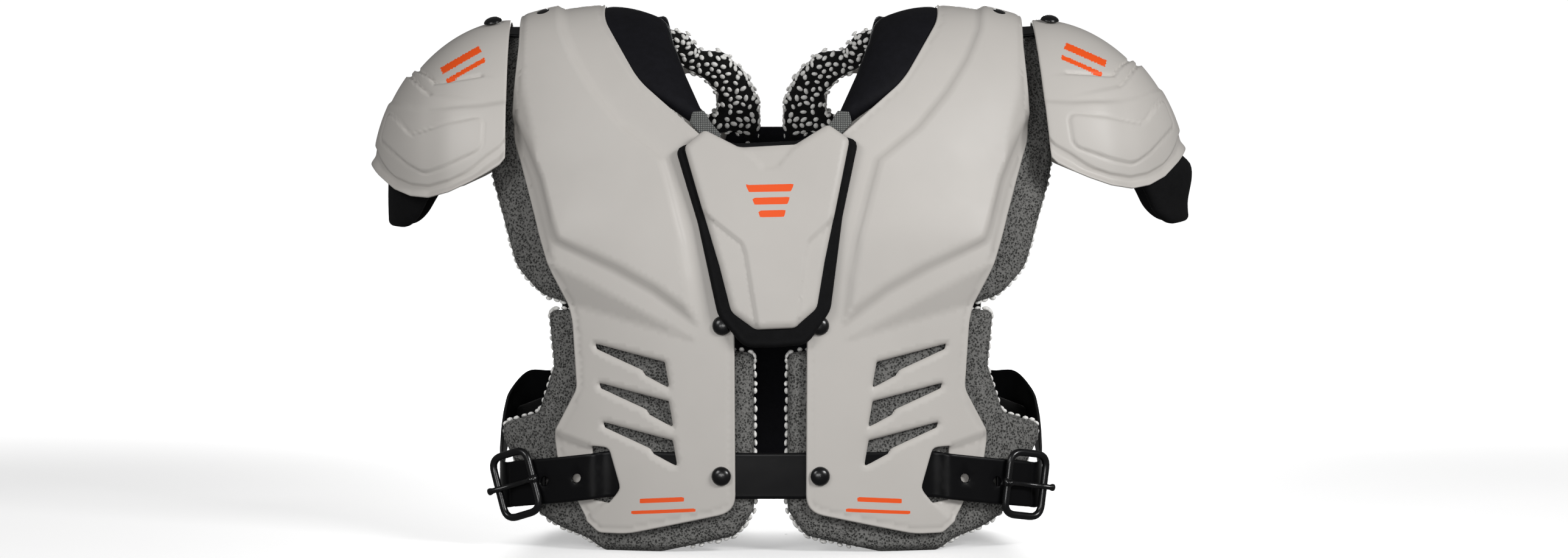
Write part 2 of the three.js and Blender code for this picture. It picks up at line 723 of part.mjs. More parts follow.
function cap(tilt, grown = 0) {
  const edge = roundedShape(
    CAP_EDGE.map(({ out, up, round }) => ({
      x: CAP_RIM + out * CAP_REACH,
      y: CAP_MIDDLE + up * CAP_RISE - grown,
      round,
    })),
  );
  const skirt = [{ below: CAP_SKIRT, splay: 0 }];
  return capSlab(grown, -SHELL - grown, skirt, tilt).intersect(
    prism(edge, -DEPTH_LIMIT, DEPTH_LIMIT),
  );
}

// The arm flap hangs inside the cap and shows below it. Its tongue as seen from the side: deep is a share
// of CAP_HALF_DEPTH from the middle, up a share of FLAP_REACH_BELOW from its lower end. Its skirt: down is
// a share of FLAP_REACH_BELOW from the cap's widest level, out a share of the flap's splay.
const FLAP_FRONT = [
  { deep: 0.86, up: 6, round: 0 },
  { deep: 0.86, up: 1.6, round: 10 },
  { deep: 0.72, up: 0.8, round: 20 },
  { deep: 0.56, up: 0, round: 16 },
];
const FLAP_SKIRT = [
  { down: 1.2, out: 0.75 },
  { down: 0.7, out: 0.95 },
  { down: 0.25, out: 1 },
];
const FLAP_OUTER = -SHELL - BELT - 2 * GAP - 0.4;

function armFlap(tilt, splay) {
  const low = CAP_MIDDLE - FLAP_REACH_BELOW;
  const tongue = roundedShape(
    FLAP_FRONT.concat([...FLAP_FRONT].reverse().map((corner) => ({ ...corner, deep: -corner.deep }))).map(
      ({ deep, up, round }) => ({ x: deep * CAP_HALF_DEPTH, y: low + up * FLAP_REACH_BELOW, round }),
    ),
  );
  const skirt = FLAP_SKIRT.map(({ down, out }) => ({
    below: down * FLAP_REACH_BELOW,
    splay: out * splay,
  }));
  const slab = capSlab(FLAP_OUTER, FLAP_OUTER - FLAP, skirt, tilt);
  return slab.intersect(prismAcross(tongue, CAP_RIM + FLAP_INNER, CAP_RIM + 3 * CAP_REACH));
}

// Depth of the shoulder rivets and of the strap's middle line, in front of the top of the arch.
const SHOULDER_RIVET_DEPTH = -12;
const SHOULDER_RIVET_ACROSS = 0.9 * SHOULDER_HALF;
const CAP_RIVET_RISE = 0.86; // quarter turns up the cap
const CAP_RIVET_TURN = -0.5;
const STRAP_SLACK = 1.2; // extra room under the curved tops, so that the flat strap clears them
const STRAP_MIDDLE = -SHELL - GAP - STRAP_SLACK - BELT / 2;

function archStrapStations() {
  const half = CAP_STRAP_WIDTH / 2;
  return [0.82, 0.9, 0.995].map((share) => {
    const x = share * SHOULDER_HALF;
    return {
      low: crownPoint(x, SHOULDER_RIVET_DEPTH - half, STRAP_MIDDLE),
      high: crownPoint(x, SHOULDER_RIVET_DEPTH + half, STRAP_MIDDLE),
      normal: wallNormal(crownPoint(x, SHOULDER_RIVET_DEPTH)),
    };
  });
}

function capStrap(tilt, grown = 0) {
  const half = CAP_STRAP_WIDTH / 2;
  const drop = STRAP_MIDDLE;
  const stations = archStrapStations();
  for (const out of [0.14, 0.22, 0.3]) {
    const low = capUnder(out, SHOULDER_RIVET_DEPTH - half, drop, tilt);
    const high = capUnder(out, SHOULDER_RIVET_DEPTH + half, drop, tilt);
    const ahead = capUnder(out + 0.02, SHOULDER_RIVET_DEPTH, drop, tilt);
    const behind = capUnder(out - 0.02, SHOULDER_RIVET_DEPTH, drop, tilt);
    const normal = high.clone().sub(low).cross(behind.sub(ahead)).normalize();
    stations.push({ low, high, normal: normal.z < 0 ? normal.negate() : normal });
  }
  return ribbon(stations, BELT, grown);
}

// A point under the cap's top, at a share of the reach outwards and a depth.
function capUnder(out, y, offset, tilt) {
  const side = Math.abs(y) / CAP_HALF_DEPTH;
  const ring = (out ** CAP_POWER + side ** CAP_POWER) ** (1 / CAP_POWER);
  const turn = Math.sign(y) * (2 / Math.PI) * Math.atan((side / out) ** (CAP_POWER / 2));
  const rise = (2 / Math.PI) * Math.acos(Math.min(1, ring ** (CAP_POWER / 2)));
  return capPoint(turn, rise, 0, offset, tilt, 0);
}

// Buckles

// Rounded rectangle ring in its own X and Y, with a round-cornered opening.
function buckleFrame(length, height, wire) {
  const corner = (l, h, r) => [
    { x: -l / 2, y: -h / 2, round: r },
    { x: l / 2, y: -h / 2, round: r },
    { x: l / 2, y: h / 2, round: r },
    { x: -l / 2, y: h / 2, round: r },
  ];
  const shape = roundedShape(corner(length, height, 3 * wire));
  shape.holes.push(roundedShape(corner(length - 2 * wire, height - 2 * wire, 2 * wire)));
  return new THREE.ExtrudeGeometry(shape, {
    depth: wire,
    bevelEnabled: false,
    curveSegments: CURVE_SEGMENTS + 1,
  });
}

const BUCKLE_OFFSET = BELT_ABOVE + BELT / 2 + GAP;
const BUCKLE_HEIGHT = BELT_WIDTH + 2 * BUCKLE_SIDE_ROOM + 2 * BUCKLE_WIRE;

function buckleTurn() {
  const at = wallPoint(BUCKLE_ACROSS, BUCKLE_Z, -1);
  const outward = wallNormal(at).setZ(0).normalize();
  const up = new THREE.Vector3(0, 0, 1);
  const along = up.clone().cross(outward).normalize();
  return { at, outward, matrix: new THREE.Matrix4().makeBasis(along, up, outward) };
}

function buckle() {
  const { at, outward, matrix } = buckleTurn();
  const seat = at.clone().addScaledVector(outward, BUCKLE_OFFSET + BELT_TO_BUCKLE);
  matrix.setPosition(seat);
  return solidOf(buckleFrame(BUCKLE_LENGTH, BUCKLE_HEIGHT, BUCKLE_WIRE).applyMatrix4(matrix));
}

const BELT_TO_BUCKLE = 0.1; // extra height that lets the flat frame clear the curved belt

// The tongue starts beside the inner bar and lies across the outer bar.
function tongue() {
  const { at, outward, matrix } = buckleTurn();
  const along = new THREE.Vector3().setFromMatrixColumn(matrix, 0);
  if (along.x < 0) along.negate();
  const base = BUCKLE_OFFSET + BELT_TO_BUCKLE;
  const inner = -BUCKLE_LENGTH / 2 + BUCKLE_WIRE + GAP;
  const outer = BUCKLE_LENGTH / 2 - BUCKLE_WIRE;
  const stations = [
    { run: inner, lift: base + TONGUE / 2 },
    { run: inner + 6, lift: base + TONGUE / 2 },
    { run: outer - 2, lift: base + BUCKLE_WIRE + GAP + TONGUE / 2 },
    { run: outer + BUCKLE_WIRE + 3, lift: base + BUCKLE_WIRE + GAP + TONGUE / 2 },
  ];
  const sides = 8;
  return loft(
    stations.map(({ run, lift }) =>
      Array.from({ length: sides }, (_, i) => {
        const turn = (2 * Math.PI * i) / sides;
        return at
          .clone()
          .addScaledVector(along, run)
          .addScaledVector(outward, lift + (Math.sin(turn) * TONGUE) / 2)
          .add(new THREE.Vector3(0, 0, (Math.cos(turn) * TONGUE) / 2));
      }),
    ),
  );
}

// Shells of one side

function vents() {
  const list = [];
  for (let i = 0; i < VENT_COUNT; i++) {
    const x = VENT_ACROSS * SHOULDER_HALF + VENT_STEP * i;
    const y = VENT_UP * HEIGHT - VENT_PITCH * i;
    const corners = VENT.map(({ along, up }) => ({
      x: x + along * VENT_LENGTH,
      y: y + up * VENT_HEIGHT,
      round: 1,
    }));
    list.push(prism(roundedShape(corners), -DEPTH_LIMIT, 0));
  }
  return list;
}

// The slot's inner edge bulges inwards at belt height, and its ends clear the belt's edges.
function beltSlot() {
  const clear = 2.5;
  const low = frontBeltHeight(SLOT_OUTER) - BELT_WIDTH / 2 - clear;
  const high = FRONT_BELT_Z + BELT_WIDTH / 2 + clear;
  const middle = low + (high - low) * 0.28;
  const shape = roundedShape([
    { x: SLOT_OUTER, y: high + 1, round: 1 },
    { x: SLOT_INNER, y: high, round: 5 },
    { x: SLOT_INNER - SLOT_LEAN, y: middle, round: 5 },
    { x: SLOT_INNER, y: low, round: 2 },
    { x: SLOT_OUTER, y: low + 2, round: 1 },
  ]);
  return prism(shape, -DEPTH_LIMIT, 0);
}

const FRONT_RIVET_ACROSS = 0.19 * SHOULDER_HALF;
const STERNUM_RIVET = { across: 0.187 * SHOULDER_HALF, up: 0.415 * HEIGHT };
const REAR_RIVET_ACROSS = 0.2 * SHOULDER_HALF;

const frontBeltWhole = ribbon(frontBeltStations(), BELT);
const frontBeltRoom = ribbon(frontBeltStations(), BELT, GAP);
const rearBeltWhole = ribbon(rearBeltStations(), BELT);
const rearBeltRoom = ribbon(rearBeltStations(), BELT, GAP);

const shoulderSeat = crownPoint(SHOULDER_RIVET_ACROSS, SHOULDER_RIVET_DEPTH);
const rivets = (grown) => ({
  belt_rivet: wallRivet(FRONT_RIVET_ACROSS, FRONT_BELT_Z, -1, grown),
  sternum_rivet: wallRivet(STERNUM_RIVET.across, STERNUM_RIVET.up, -1, grown),
  back_rivet: wallRivet(REAR_RIVET_ACROSS, REAR_BELT_Z, 1, grown),
  shoulder_rivet: rivet(shoulderSeat, wallNormal(shoulderSeat), grown),
});

function capRivet(tilt, grown = 0) {
  const at = capPoint(CAP_RIVET_TURN, CAP_RIVET_RISE, 0, 0, tilt, 0);
  const under = capPoint(CAP_RIVET_TURN, CAP_RIVET_RISE, 0, -1, tilt, 0);
  return rivet(at, at.clone().sub(under).normalize(), grown);
}

const rivetSet = rivets(0);
const rivetRoom = Object.values(rivets(GAP)).reduce((all, one) => all.add(one));

const bothBeltsRoom = frontBeltRoom.add(rearBeltRoom);
const bodyArch = vents()
  .reduce((shell, vent) => shell.subtract(vent), saddle(ARCH_FRONT, ARCH_BACK, 0, -SHELL))
  .subtract(prism(roundedShape(cornersOf(COLLAR_WINDOW)), 0, DEPTH_LIMIT))
  .subtract(beltSlot())
  .subtract(bothBeltsRoom)
  .subtract(rivetRoom);

const padCut = bothBeltsRoom.add(rivetRoom);

function collarPad(grown) {
  const outer = -SHELL - GAP + grown;
  const pad = wallPiece(COLLAR_PAD_BACK, 1, [0, 4], outer, outer - COLLAR_PAD - 2 * grown);
  if (!grown) return pad;
  // Room for the pad: a copy on each side of it, so that what is cut by them keeps clear of its edges.
  return [[grown, 0], [-grown, 0], [0, grown], [0, -grown]].reduce(
    (room, [x, z]) => room.add(moved(pad, x, z)),
    pad,
  );
}

function moved(solid, x, z) {
  return solidOf(geometryOf(solid).translate(x, 0, z));
}

const pieces = {
  body_arch: bodyArch,
  rib_pad_front: wallPiece(RIB_FRONT, -1, [0, LAST_COLUMN], PAD_OUTER, PAD_INNER).subtract(padCut),
  rib_pad_back: wallPiece(RIB_BACK, 1, [1, LAST_COLUMN], PAD_OUTER, PAD_INNER).subtract(padCut),
  neck_pad: saddle(NECK_FRONT, NECK_BACK, -SHELL - GAP, -SHELL - GAP - NECK_PAD),
  neck_tab: wallPiece(NECK_TAB_FRONT, -1, [1, 3], -SHELL - GAP, -SHELL - GAP - NECK_TAB),
  collar_pad: collarPad(0),
  buckle: buckle(),
  buckle_tongue: tongue(),
  ...rivetSet,
};

const bodyPadWhole = saddle(BODY_FRONT, BODY_BACK, PAD_OUTER, PAD_INNER).subtract(padCut);

function sidePieces(side) {
  const tilt = CAP_TILT[side];
  const strapRoom = capStrap(tilt, GAP);
  return {
    body_pad: bodyPadWhole.subtract(strapRoom),
    shoulder_cap: cap(tilt).subtract(capRivet(tilt, GAP)),
    cap_rivet: capRivet(tilt),
    cap_strap: capStrap(tilt).subtract(rivetRoom).subtract(capRivet(tilt, GAP)),
    arm_flap: armFlap(tilt, FLAP_SPLAY[side])
      .subtract(capRivet(tilt, GAP))
      .subtract(strapRoom)
      .subtract(cap(tilt, GAP)),
  };
}

const sternumPadWhole = wallPiece(
  bothHalves(STERNUM_PAD_HALF), -1, [-3, 3], GAP + STERNUM_PAD, GAP, STERNUM_TILT,
)
  .subtract(rivetRoom)
  .subtract(mirrored(rivetRoom));

const holeSpots = [1, 2].map((i) => SLOT_OUTER + 4 + BELT_HOLE_PITCH * (i - 1));
const holed = holeSpots.reduce(
  (belt, x) => belt.subtract(beltHole(x)).subtract(mirrored(beltHole(x))),
  frontBeltWhole,
);

const middlePieces = {
  sternum_pad: sternumPadWhole,
  sternum_plate: wallPiece(
    bothHalves(STERNUM_PLATE_HALF), -1, [-3, 3],
    2 * GAP + STERNUM_PAD + STERNUM_PLATE, 2 * GAP + STERNUM_PAD, STERNUM_TILT,
  ),
  spine_pad: wallPiece(SPINE_BACK, 1, [-2, 2], PAD_OUTER, PAD_INNER)
    .subtract(padCut)
    .subtract(collarPad(GAP))
    .subtract(mirrored(collarPad(GAP))),
  front_belt: holed.subtract(rivetRoom).subtract(mirrored(rivetRoom)),
  rear_belt: rearBeltWhole.subtract(rivetRoom).subtract(mirrored(rivetRoom)),
};

// Materials, by the first words of a piece's name

const finish = (colour, roughness, metalness = 0) =>
  new THREE.MeshStandardMaterial({ color: colour, roughness, metalness });
const PLASTIC = finish("#c3bfb8", 0.5);
const PAD_FABRIC = finish("#4b4b49", 0.9);
const BLACK_FABRIC = finish("#141417", 0.85);
const BEAD_FABRIC = finish("#6a6866", 0.8);
const WEBBING = finish("#6b6e6b", 0.9);
const BELT_VINYL = finish("#0e0e0f", 0.45);
const BLACK_METAL = finish("#101012", 0.3, 0.6);
const MATERIALS = [
  [/^(body_arch|shoulder_cap|sternum_plate)/, PLASTIC],
  [/^(body_pad|rib_pad)/, PAD_FABRIC],
  [/^(neck_pad|arm_flap|sternum_pad|spine_pad)/, BLACK_FABRIC],
  [/^collar_pad/, BEAD_FABRIC],
  [/^neck_tab/, WEBBING],
  [/belt$|strap/, BELT_VINYL],
  [/buckle|rivet/, BLACK_METAL],
];

const shoulderPads = new THREE.Group();

function addPiece(name, solid, group) {
  const [, material] = MATERIALS.find(([pattern]) => pattern.test(name));
  const mesh = new THREE.Mesh(geometryOf(solid), material);
  mesh.name = name;
  group.add(mesh);
}

for (const side of ["left", "right"]) {
  const group = new THREE.Group();
  group.scale.x = side === "left" ? 1 : -1;
  for (const [name, solid] of Object.entries({ ...pieces, ...sidePieces(side) })) {
    addPiece(`${name}_${side}`, solid, group);
  }
  shoulderPads.add(group);
}
for (const [name, solid] of Object.entries(middlePieces)) addPiece(name, solid, shoulderPads);

// The two caps hang differently, so the middle of the whole is a little off the wearer's centre plane.
const middle = new THREE.Box3().setFromObject(shoulderPads, true).getCenter(new THREE.Vector3());
shoulderPads.position.set(-middle.x, -middle.y, 0);

export default shoulderPads;
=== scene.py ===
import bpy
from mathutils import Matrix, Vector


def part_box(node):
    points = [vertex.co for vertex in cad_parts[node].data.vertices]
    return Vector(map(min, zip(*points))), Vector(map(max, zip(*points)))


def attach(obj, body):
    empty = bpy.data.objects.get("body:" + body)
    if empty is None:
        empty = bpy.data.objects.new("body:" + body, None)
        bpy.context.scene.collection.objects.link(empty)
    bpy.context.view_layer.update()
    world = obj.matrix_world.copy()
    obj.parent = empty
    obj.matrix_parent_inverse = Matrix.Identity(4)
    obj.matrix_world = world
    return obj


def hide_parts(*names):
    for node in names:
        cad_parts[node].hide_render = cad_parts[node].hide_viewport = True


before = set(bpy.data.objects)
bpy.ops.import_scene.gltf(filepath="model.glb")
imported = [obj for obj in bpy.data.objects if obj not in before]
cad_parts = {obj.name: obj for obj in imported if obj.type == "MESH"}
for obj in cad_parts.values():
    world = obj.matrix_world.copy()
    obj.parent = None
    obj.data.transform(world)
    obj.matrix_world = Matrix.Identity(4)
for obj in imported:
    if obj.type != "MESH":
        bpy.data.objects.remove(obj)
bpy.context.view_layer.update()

import math

import bpy
import numpy as np
from mathutils import Vector
from mathutils.geometry import delaunay_2d_cdt

# Sizes in millimetres. Pieces are built about the wearer's centre plane and the middle between chest and
# back, then placed in the frame.
HEIGHT, HALF, DEPTH, WRAP = 381.0, 180.0, 128.0, 240.0
POWER, FLAT, DROP = 3.4, 110.0, 12.0
GAP, SHELL, BELT, PAD, NECK, COLLAR = 0.4, 2.5, 2.3, 12.0, 14.0, 17.0
STERNUM_PAD, STERNUM_PLATE = 7.0, 3.0
BELT_OUT = -SHELL - GAP
BELT_MID = BELT_OUT - BELT / 2
PAD_OUT = BELT_OUT - BELT - GAP
PAD_IN = PAD_OUT - PAD
BELT_ABOVE = GAP + BELT / 2
BELT_W = 32.0

low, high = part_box("front_belt")
CX = (low.x + high.x) / 2 * 1000
low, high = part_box("body_arch_left")
CY = (low.y + high.y) / 2 * 1000

RNG = np.random.default_rng(7)
SIDES = ("left", "right")


def place(points, mirror=False):
    q = np.array(points, float)
    if mirror:
        q[:, 0] *= -1
    q[:, 0] += CX
    q[:, 1] += CY
    return q / 1000


# The wall, in one flat pattern: u across, v along the arch from front foot to back foot, 0 at the crown.

def top(x):
    return HEIGHT - DROP * (np.maximum(0, np.abs(x) - FLAT) / (HALF - FLAT)) ** 2


def depth(x):
    return DEPTH * np.sqrt(1 - (np.asarray(x, float) / WRAP) ** 2)


_TH = np.linspace(0, np.pi, 4001)
_Y = -depth(FLAT) * np.cos(_TH)
_Z = top(FLAT) * np.clip(np.sin(_TH), 0, 1) ** (2 / POWER)
_S = np.concatenate([[0], np.cumsum(np.hypot(np.diff(_Y), np.diff(_Z)))])
_S -= _S[2000]


def pattern(x, z, side):
    t = np.arcsin(np.clip(np.asarray(z, float) / top(x), 0, 1) ** (POWER / 2))
    t = np.where(side < 0, t, np.pi - t)
    return np.stack([np.asarray(x, float) + 0 * t, np.interp(t, _TH, _S)], 1)


def wall_normal(x, y, z):
    d, t = depth(x), top(x)
    dd = -DEPTH * x / WRAP ** 2 / np.sqrt(1 - (x / WRAP) ** 2)
    dt = -2 * DROP * np.maximum(0, np.abs(x) - FLAT) / (HALF - FLAT) ** 2 * np.sign(x)
    z = np.maximum(z, 0)
    n = np.stack([
        -2 * y ** 2 * dd / d ** 3 - POWER * z ** POWER * dt / t ** (POWER + 1),
        2 * y / d ** 2,
        POWER * z ** (POWER - 1) / t ** POWER,
    ], 1)
    return unit(n)


def lift_wall(uv):
    u, v = uv[:, 0], uv[:, 1]
    th = np.interp(v, _S, _TH)
    p = np.stack([u, -depth(u) * np.cos(th), top(u) * np.clip(np.sin(th), 0, 1) ** (2 / POWER)], 1)
    return p, wall_normal(p[:, 0], p[:, 1], p[:, 2])


def wall_at(x, z, side, offset=0.0):
    p, n = lift_wall(pattern(np.atleast_1d(float(x)), np.atleast_1d(float(z)), side))
    return (p + n * offset)[0], n[0]


def crown_at(x, y, offset=0.0):
    z = top(x) * (1 - (y / depth(x)) ** 2) ** (1 / POWER)
    n = wall_normal(np.array([x]), np.array([y]), np.array([z]))[0]
    return np.array([x, y, z]) + n * offset, n


# Outlines and flat geometry

def mm(rows):
    return [(a * HALF, b * HEIGHT, r) for a, b, r in rows]


def rounded(corners, closed=True, n=7):
    out = []
    count = len(corners)
    for i, (x, z, r) in enumerate(corners):
        here = np.array([x, z], float)
        if r <= 0 or (not closed and i in (0, count - 1)):
            out.append(here)
            continue
        back = np.array(corners[i - 1][:2], float) - here
        ahead = np.array(corners[(i + 1) % count][:2], float) - here
        lb, la = np.linalg.norm(back), np.linalg.norm(ahead)
        half = math.acos(max(-1, min(1, back @ ahead / lb / la))) / 2
        trim = min(r / math.tan(half), 0.48 * lb, 0.48 * la)
        s, e = here + back / lb * trim, here + ahead / la * trim
        for t in np.linspace(0, 1, n):
            out.append((1 - t) ** 2 * s + 2 * t * (1 - t) * here + t * t * e)
    return np.array(out)


def dense(line, step=2.0, closed=True):
    out = []
    count = len(line)
    for i in range(count if closed else count - 1):
        a, b = line[i], line[(i + 1) % count]
        k = max(1, int(math.ceil(np.linalg.norm(b - a) / step)))
        for j in range(k):
            out.append(a + (b - a) * j / k)
    if not closed:
        out.append(line[-1])
    return np.array(out)


def thin(line, step, closed=True):
    """Drops points that crowd together, but keeps corners."""
    keep = [line[0]]
    count = len(line)
    for i in range(1, count):
        a, b, c = keep[-1], line[i], line[(i + 1) % count]
        d1, d2 = b - a, c - b
        l1, l2 = np.linalg.norm(d1), np.linalg.norm(d2)
        if l1 < 1e-6:
            continue
        turn = 0 if l2 < 1e-9 else abs(math.atan2(d1[0] * d2[1] - d1[1] * d2[0], d1 @ d2))
        if l1 >= step or (turn > 0.35 and l1 > 0.3 * step):
            keep.append(b)
    if closed and np.linalg.norm(keep[-1] - keep[0]) < 0.3 * step:
        keep.pop()
    return np.array(keep)


def to_segments(points, a, b, chunk=1500):
    ab = b - a
    ll = np.maximum((ab ** 2).sum(1), 1e-12)
    out = np.empty(len(points))
    for i in range(0, len(points), chunk):
        p = points[i:i + chunk, None, :]
        t = np.clip(((p - a) * ab).sum(2) / ll, 0, 1)
        out[i:i + chunk] = np.sqrt((((a + t[..., None] * ab) - p) ** 2).sum(2).min(1))
    return out


def dist(points, loops):
    return to_segments(points, np.concatenate(loops), np.concatenate([np.roll(l, -1, 0) for l in loops]))


def within(points, loop, chunk=3000):
    a, b = loop, np.roll(loop, -1, 0)
    out = np.zeros(len(points), bool)
    for i in range(0, len(points), chunk):
        x, y = points[i:i + chunk, 0:1], points[i:i + chunk, 1:2]
        cross = (a[:, 1] > y) != (b[:, 1] > y)
        with np.errstate(divide="ignore", invalid="ignore"):
            at = a[:, 0] + (y - a[:, 1]) * (b[:, 0] - a[:, 0]) / (b[:, 1] - a[:, 1])
        out[i:i + chunk] = (np.where(cross, x < at, False).sum(1) % 2) == 1
    return out


def inside(points, loops):
    ok = within(points, loops[0])
    for hole in loops[1:]:
        ok &= ~within(points, hole)
    return ok


def signed(points, loop):
    """Distance to a closed loop, positive inside."""
    d = dist(points, [loop])
    return np.where(within(points, loop), d, -d)


def unit(rows):
    return rows / np.linalg.norm(rows, axis=-1, keepdims=True)


def step01(x):
    x = np.clip(x, 0, 1)
    return x * x * (3 - 2 * x)


def quarter(d, rim):
    """A rounded rim: 0 at the edge, 1 from the rim's width on."""
    return np.sqrt(np.clip(1 - (1 - np.minimum(d, rim) / rim) ** 2, 0, 1))


def bevel(x):
    return 0.72 * np.clip(x, 0, 1) + 0.28 * step01(x)


def ring(loop, d):
    t = np.roll(loop, -1, 0) - np.roll(loop, 1, 0)
    t /= np.maximum(np.linalg.norm(t, axis=1, keepdims=True), 1e-9)
    n = np.stack([-t[:, 1], t[:, 0]], 1)
    return np.concatenate([loop + n * d, loop - n * d])


def sparse(points, gap, taken=None):
    """Keeps points at least gap apart, first come first kept."""
    cells = {}
    kept = []
    count = 0 if taken is None else len(taken)
    for index, p in enumerate(points if taken is None else np.concatenate([taken, points])):
        i, j = int(p[0] // gap), int(p[1] // gap)
        near = (q for a in (i - 1, i, i + 1) for b in (j - 1, j, j + 1) for q in cells.get((a, b), ()))
        if index < count or not any((p[0] - q[0]) ** 2 + (p[1] - q[1]) ** 2 < gap * gap for q in near):
            cells.setdefault((i, j), []).append(p)
            if index >= count:
                kept.append(p)
    return np.array(kept).reshape(-1, 2)


def staggered(xs, ys, pitch):
    return np.array([(x + (pitch / 2 if j % 2 else 0), y) for j, y in enumerate(ys) for x in xs])


def fill(loops, rings, h, curves=(), curve_gap=0.9):
    """Triangles that fill the loops, with rows of points along the edges and along the given curves."""
    base = np.concatenate(loops)
    rows = []
    for d in rings:
        for loop in loops:
            q = ring(loop, d)
            q = q[inside(q, loops)]
            if len(q):
                dd = dist(q, loops)
                rows.append(q[np.abs(dd - d) < 0.06 * d + 0.02])
    last = rings[-1] if rings else 0
    rows = np.concatenate(rows) if rows else np.zeros((0, 2))
    if len(curves):
        c = np.concatenate(curves)
        c = c[inside(c, loops)]
        c = c[dist(c, loops) > last + 0.5]
        c = sparse(c, curve_gap)
    else:
        c = np.zeros((0, 2))
    lo, hi = base.min(0), base.max(0)
    gx = np.arange(lo[0], hi[0] + h, h)
    gy = np.arange(lo[1], hi[1] + h, h * 0.866)
    g = staggered(gx, gy, h)
    g = g[inside(g, loops)]
    g = g[dist(g, loops) > last + 0.45 * h]
    if len(c):
        g = sparse(g, 0.62 * h, c)
    pts = np.concatenate([base, rows, c, g])
    edges, k = [], 0
    for loop in loops:
        m = len(loop)
        edges += [(k + i, k + (i + 1) % m) for i in range(m)]
        k += m
    got = delaunay_2d_cdt([Vector((float(x), float(y))) for x, y in pts], edges, [], 0, 1e-5)
    v = np.array([(p.x, p.y) for p in got[0]])
    f = np.array([t for t in got[2] if len(t) == 3])
    mid = v[f].mean(1)
    f = f[inside(mid, loops)]
    used = np.unique(f)
    back = np.full(len(v), -1)
    back[used] = np.arange(len(used))
    return v[used], back[f]


def sheet(p, n, up, down, f, edge, paint, flat):
    """Outer and inner faces that share their points at the edge: points, triangles, kinds, outer areas."""
    po, pi = p + n * up[:, None], p + n * down[:, None]
    index = np.arange(len(p))
    index[~edge] = len(p) + np.arange((~edge).sum())
    fn = np.cross(po[f[:, 1]] - po[f[:, 0]], po[f[:, 2]] - po[f[:, 0]])
    if (fn * n[f[:, 0]]).sum() < 0:
        f = f[:, ::-1]
    kinds = np.zeros(len(f), int)
    if paint is not None:
        kinds[paint(flat[f].mean(1))] = 2
    return (np.concatenate([po, pi[~edge]]), np.concatenate([f, index[f][:, ::-1]]),
            np.concatenate([kinds, np.ones(len(f), int)]), np.linalg.norm(fn, axis=1))


def slab(loops, lift, mid, half, rim, h, rings=None, relief=None, outer=None, inner=None, curves=(),
         paint=None, step=2.0):
    """A closed sheet: outer and inner faces that meet at a rounded rim. Returns points, triangles, kinds."""
    loops = [thin(dense(l, step), 0.8 * step) for l in loops]
    rings = rings or [0.14 * rim, 0.5 * rim, rim]
    uv, f = fill(loops, rings, h, curves)
    d = dist(uv, loops)
    edge = d < 1e-3
    p, n = lift(uv)
    round_ = quarter(d, rim)
    base = mid + (relief(uv) if relief else 0)
    up = base + half * round_ + (outer(uv, d) if outer else 0) * (d > 0)
    down = base - half * round_ - (inner(uv, d) if inner else 0) * (d > 0)
    return sheet(p, n, up, down, f, edge, paint, uv)[:3]


def put(name, data):
    obj = bpy.data.objects.new(name, data)
    bpy.context.scene.collection.objects.link(obj)
    return obj


def emit(name, data, mats, mirror=False):
    v, f, kinds = data
    if mirror:
        f = f[:, ::-1]
    mesh = bpy.data.meshes.new(name)
    mesh.from_pydata(place(v, mirror).tolist(), [], f.tolist())
    for m in mats:
        mesh.materials.append(m)
    mesh.polygons.foreach_set("material_index", np.minimum(kinds, len(mats) - 1).astype(np.int32))
    mesh.polygons.foreach_set("use_smooth", np.ones(len(f), bool))
    mesh.validate()
    mesh.update()
    return put(name, mesh)


def piece(name, data, mats, nodes=(), mirror=False):
    """A piece that rides on the one body, and stands for CAD nodes."""
    obj = emit(name, data, mats, mirror)
    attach(obj, "root")
    if nodes:
        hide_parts(*nodes)


def on_side(side, name, data, mats, slot, node_=None, fill_=None):
    piece(f"{name}_{side}", data, mats, [f"{node_}_{side}"] if node_ else (), side == "right")


def pairs(*rows):
    for side in SIDES:
        for row in rows:
            on_side(side, *row)


def join(parts):
    vs, fs, ks, k = [], [], [], 0
    for v, f, kinds in parts:
        vs.append(v)
        fs.append(f + k)
        ks.append(kinds)
        k += len(v)
    return np.concatenate(vs), np.concatenate(fs), np.concatenate(ks)


def grid_faces(rows, cols, closed=False, ends=False):
    """Triangles of a grid of points. With closed the last column meets the first, with ends the last row."""
    i, j = np.meshgrid(np.arange(rows - (not ends)), np.arange(cols - (not closed)), indexing="ij")
    i, j = i.ravel(), j.ravel()
    k, n = (j + 1) % cols, (i + 1) % rows
    a, b, c, d = i * cols + j, i * cols + k, n * cols + k, n * cols + j
    return np.concatenate([np.stack([a, b, c], 1), np.stack([a, c, d], 1)])


